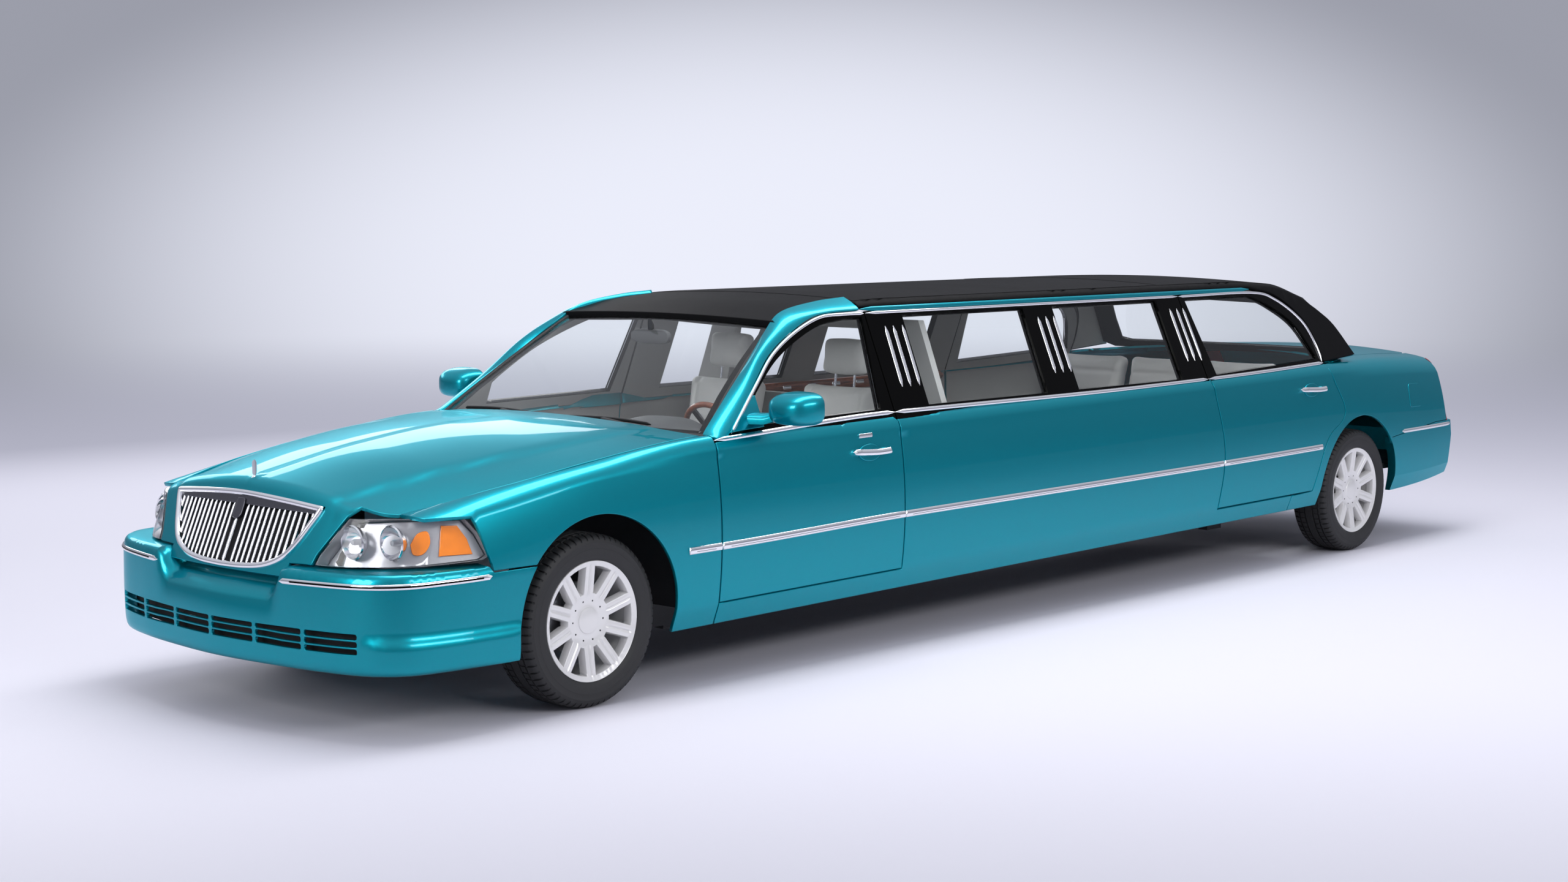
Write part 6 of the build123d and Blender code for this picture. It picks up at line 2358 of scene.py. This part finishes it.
PAD_KINDS = {
    "seat_pad": dict(size=(0.50, 0.50, 0.17), channels=((1, -0.155), (1, 0.155), (0, -0.02))),
    "back_pad": dict(size=(0.13, 0.50, 0.60), channels=((1, -0.155), (1, 0.155), (2, 0.05))),
    "head_pad": dict(size=(0.10, 0.27, 0.19), voxel=0.010, cap=0.014),
    "bench_pad": dict(size=(0.50, 0.515, 0.18), channels=((0, 0.08), (0, -0.08))),
    "bench_back_pad": dict(size=(0.12, 0.515, 0.55), channels=((2, 0.0), (2, 0.14), (2, -0.14))),
    "slim_pad": dict(size=(0.38, 0.515, 0.17), channels=((0, 0.06), (0, -0.06))),
    "slim_back_pad": dict(size=(0.085, 0.515, 0.50), channels=((2, 0.0), (2, 0.13), (2, -0.13))),
}
pads = {kind: make_pad(kind, **shape) for kind, shape in PAD_KINDS.items()}
print(len(pads), "pads swollen")

# %% [markdown]
# The pads are copied to their places on the two front seats and the two benches. Each seat stands on a plain
# bevelled block, and the head rests stand on bright posts.

# %% Seats in their places
def seat_part(kind, name, place, seat, lean=0.0):
    """A copy of a pad with its own mesh, leaned about Y by some degrees, as a part of a seat."""
    mesh = pads[kind].data.copy()
    mesh.name = name
    mesh.transform(Matrix.Translation(place) @ Matrix.Rotation(math.radians(lean), 4, "Y"))
    made = linked(name, mesh)
    place_piece(made, "body", "seat_leather", seat)


def block(name, size, place, bevel, material, slot, seat):
    """A bevelled block under a seat."""
    deselect()
    bpy.ops.mesh.primitive_cube_add(size=1, location=place)
    made = bpy.context.object
    made.name = name
    made.scale = size
    bpy.ops.object.transform_apply(location=True, scale=True)
    apply_modifier(made, "soft edges", "BEVEL", width=bevel, segments=3)
    made.data.materials.append(material)
    place_piece(made, "body", slot, seat)


POST = [(0, 0), (0.006, 0), (0.006, 0.10), (0, 0.10)]
for name, y in (("driver_seat", 0.380), ("passenger_seat", -0.380)):
    seat_part("seat_pad", f"{name}_cushion", (1.290, y, 0.520), name)
    seat_part("back_pad", f"{name}_back", (0.995, y, 0.890), name, lean=-11)
    seat_part("head_pad", f"{name}_head_rest", (0.925, y, 1.295), name, lean=-8)
    points, polygons = turned(POST, 16, (0.940, y - 0.06, 1.150), (-0.1, 0, 1))
    more, more_polygons = turned(POST, 16, (0.940, y + 0.06, 1.150), (-0.1, 0, 1))
    polygons = polygons + [tuple(i + len(points) for i in p) for p in more_polygons]
    mesh_piece(f"{name}_posts", np.concatenate([points, more]), polygons, [chrome], "body", "wheel_alloy")
    block(f"{name}_base", (0.40, 0.38, 0.10), (1.270, y, 0.390), 0.012, dark_plastic, "dash_plastic", name)

BENCHES = [
    ("rear_bench", "bench_pad", "bench_back_pad", (-1.925, 0.515), (-2.320, 0.870), -15),
    ("facing_bench", "slim_pad", "slim_back_pad", (0.345, 0.485), (0.615, 0.810), 7),
]
for name, pad_kind, back_kind, (pad_x, pad_z), (back_x, back_z), lean in BENCHES:
    for number in (-1, 0, 1):
        y = number * 0.520
        seat_part(pad_kind, f"{name}_cushion_{number + 2}", (pad_x, y, pad_z), name)
        seat_part(back_kind, f"{name}_back_{number + 2}", (back_x, y, back_z), name, lean=lean)
    block(f"{name}_plinth", (0.34, 1.54, 0.075), (pad_x, 0, 0.385), 0.010, trim_grey, "seat_leather", name)
for pad in pads.values():
    bpy.data.objects.remove(pad)
print("seats placed")

# %% [markdown]
# ## Steering wheel, dash and cabin trim
#
# The steering wheel has a wooden rim on dark spokes. Its parts are turned about the column's own axis, so it
# spins true.

# %% Steering wheel
COLUMN_AXIS = np.array((-0.906, 0, 0.423))
WHEEL_MIDDLE = np.array((1.800, 0.370, 0.955))
GRIP_RADIUS, GRIP_THICK = 0.185, 0.0135
HUB_SECTION = [(0, 0.022), (0.040, 0.020), (0.060, 0.010), (0.066, -0.004), (0.058, -0.020), (0, -0.022)]
SPOKE_ANGLES = (0, 180, 240, 300)
WHEEL_PLACE = ("steering_wheel", "dash_plastic", "steering_wheel")
grip = [(GRIP_RADIUS + c, s) for c, s in circle(GRIP_THICK, 16)]
mesh_piece("steering_rim", *turned(grip, 72, WHEEL_MIDDLE, COLUMN_AXIS), [wood], "steering_wheel",
           "wood_trim",
           "steering_wheel", angle=80)
side_way = np.array((0, 1.0, 0))
down_way = np.cross(COLUMN_AXIS, side_way)
spoke_sheets = []
for degrees in SPOKE_ANGLES:
    angle = math.radians(degrees)
    way = side_way * math.cos(angle) + down_way * math.sin(angle)
    line = [WHEEL_MIDDLE + way * r for r in np.linspace(0.050, 0.180, 10)]
    spoke_sheets.append(steady_strip(line, COLUMN_AXIS, 0.015, 0.008, sink=0.006, round_ends=False))
sheet_piece("steering_spokes", spoke_sheets, [dark_plastic], *WHEEL_PLACE)
hub = turned(HUB_SECTION, 48, WHEEL_MIDDLE, COLUMN_AXIS)
mesh_piece("steering_hub", *hub, [dark_plastic], *WHEEL_PLACE, angle=40)
print("steering wheel with", len(SPOKE_ANGLES), "spokes")

# %% [markdown]
# Carpet, dash hood, inside mirror and the wooden panel on the far wall are what shows through the glass.

# %% Cabin trim
DASH_X, DASH_Z = (1.985, 2.02, 2.09, 2.29, 2.39), (0.992, 1.012, 1.042, 1.047, 1.018)
MIRROR_HEAD = [(1.872, 0, 1.415, 0.10, 0.022), (1.868, 0, 1.415, 0.122, 0.032),
               (1.850, 0, 1.415, 0.126, 0.035), (1.842, 0, 1.415, 0.118, 0.029)]
MIRROR_STALK = [(1.865, 0, 1.470, 0.014, 0.030), (1.850, 0, 1.450, 0.014, 0.030)]


def carpet_top(uv):
    """The floor covering's upper face: uv holds x and y."""
    return np.stack([uv[:, 0], uv[:, 1], 0.352 - 0.0035 * uv[:, 0]], 1)


def dash_top(uv):
    """The dash's padded top: uv holds x and y."""
    x, y = uv[:, 0], uv[:, 1]
    rise = np.clip(np.sin(math.pi * np.clip((x - 1.99) / 0.30, 0, 1)), 0, 1) ** 0.6
    hump = 0.045 * np.exp(-(((y - 0.37) / 0.19) ** 4)) * rise
    return np.stack([x, y, np.interp(x, DASH_X, DASH_Z) + hump], 1)


carpet_sheet = grid_sheet(carpet_top, np.linspace(-2.40, 2.38, 40), np.linspace(-0.855, 0.855, 16), 0.010)
sheet_piece("floor_carpet", [carpet_sheet], [carpet], "body", "dash_plastic")
dash_sheet = grid_sheet(dash_top, np.linspace(1.985, 2.39, 40), np.linspace(-0.80, 0.80, 80), 0.012)
sheet_piece("dash_pad", [dash_sheet], [dark_plastic], "body", "dash_plastic")
wood_line = [(1.983, y, 0.955) for y in np.linspace(-0.76, 0.76, 40)]
wood_strip = steady_strip(wood_line, (-1, 0, 0), 0.030, 0.006, sink=0.004)
sheet_piece("dash_wood", [wood_strip], [wood], "body", "wood_trim")
shell_of(MIRROR_HEAD, 32, "inside_mirror", [dark_plastic], 1, "body", "dash_plastic")
shell_of(MIRROR_STALK, 16, "mirror_stalk", [dark_plastic], 1, "body", "dash_plastic")

wall_line = [(x, -0.822, 1.030) for x in np.linspace(0.60, -1.30, 50)]
wood_panel = steady_strip(wall_line, (0, 1, 0), 0.032, 0.010, sink=0.010)
sheet_piece("wall_wood", [wood_panel], [wood], "body", "wood_trim")
switch_sheets = []
for x in np.linspace(0.45, -1.15, 9):
    line = [(x + step, -0.812, 1.030) for step in (-0.030, 0, 0.030)]
    switch_sheets.append(steady_strip(line, (0, 1, 0), 0.014, 0.006, sink=0.004, round_ends=False))
sheet_piece("wall_switches", switch_sheets, [chrome], "body", "wheel_alloy")
rail_bars = []
for y in (-0.530, -0.815):
    line = [(x, y, 0.882) for x in np.linspace(0.10, -1.00, 30)]
    rail_bars.append(steady_strip(line, (0, 0, 1), 0.008, 0.012, sink=0.003))
sheet_piece("cabinet_rails", rail_bars, [chrome], "body", "wheel_alloy")
print("cabin trimmed")

# %% [markdown]
# ## The end

# %% The end
print("the end")
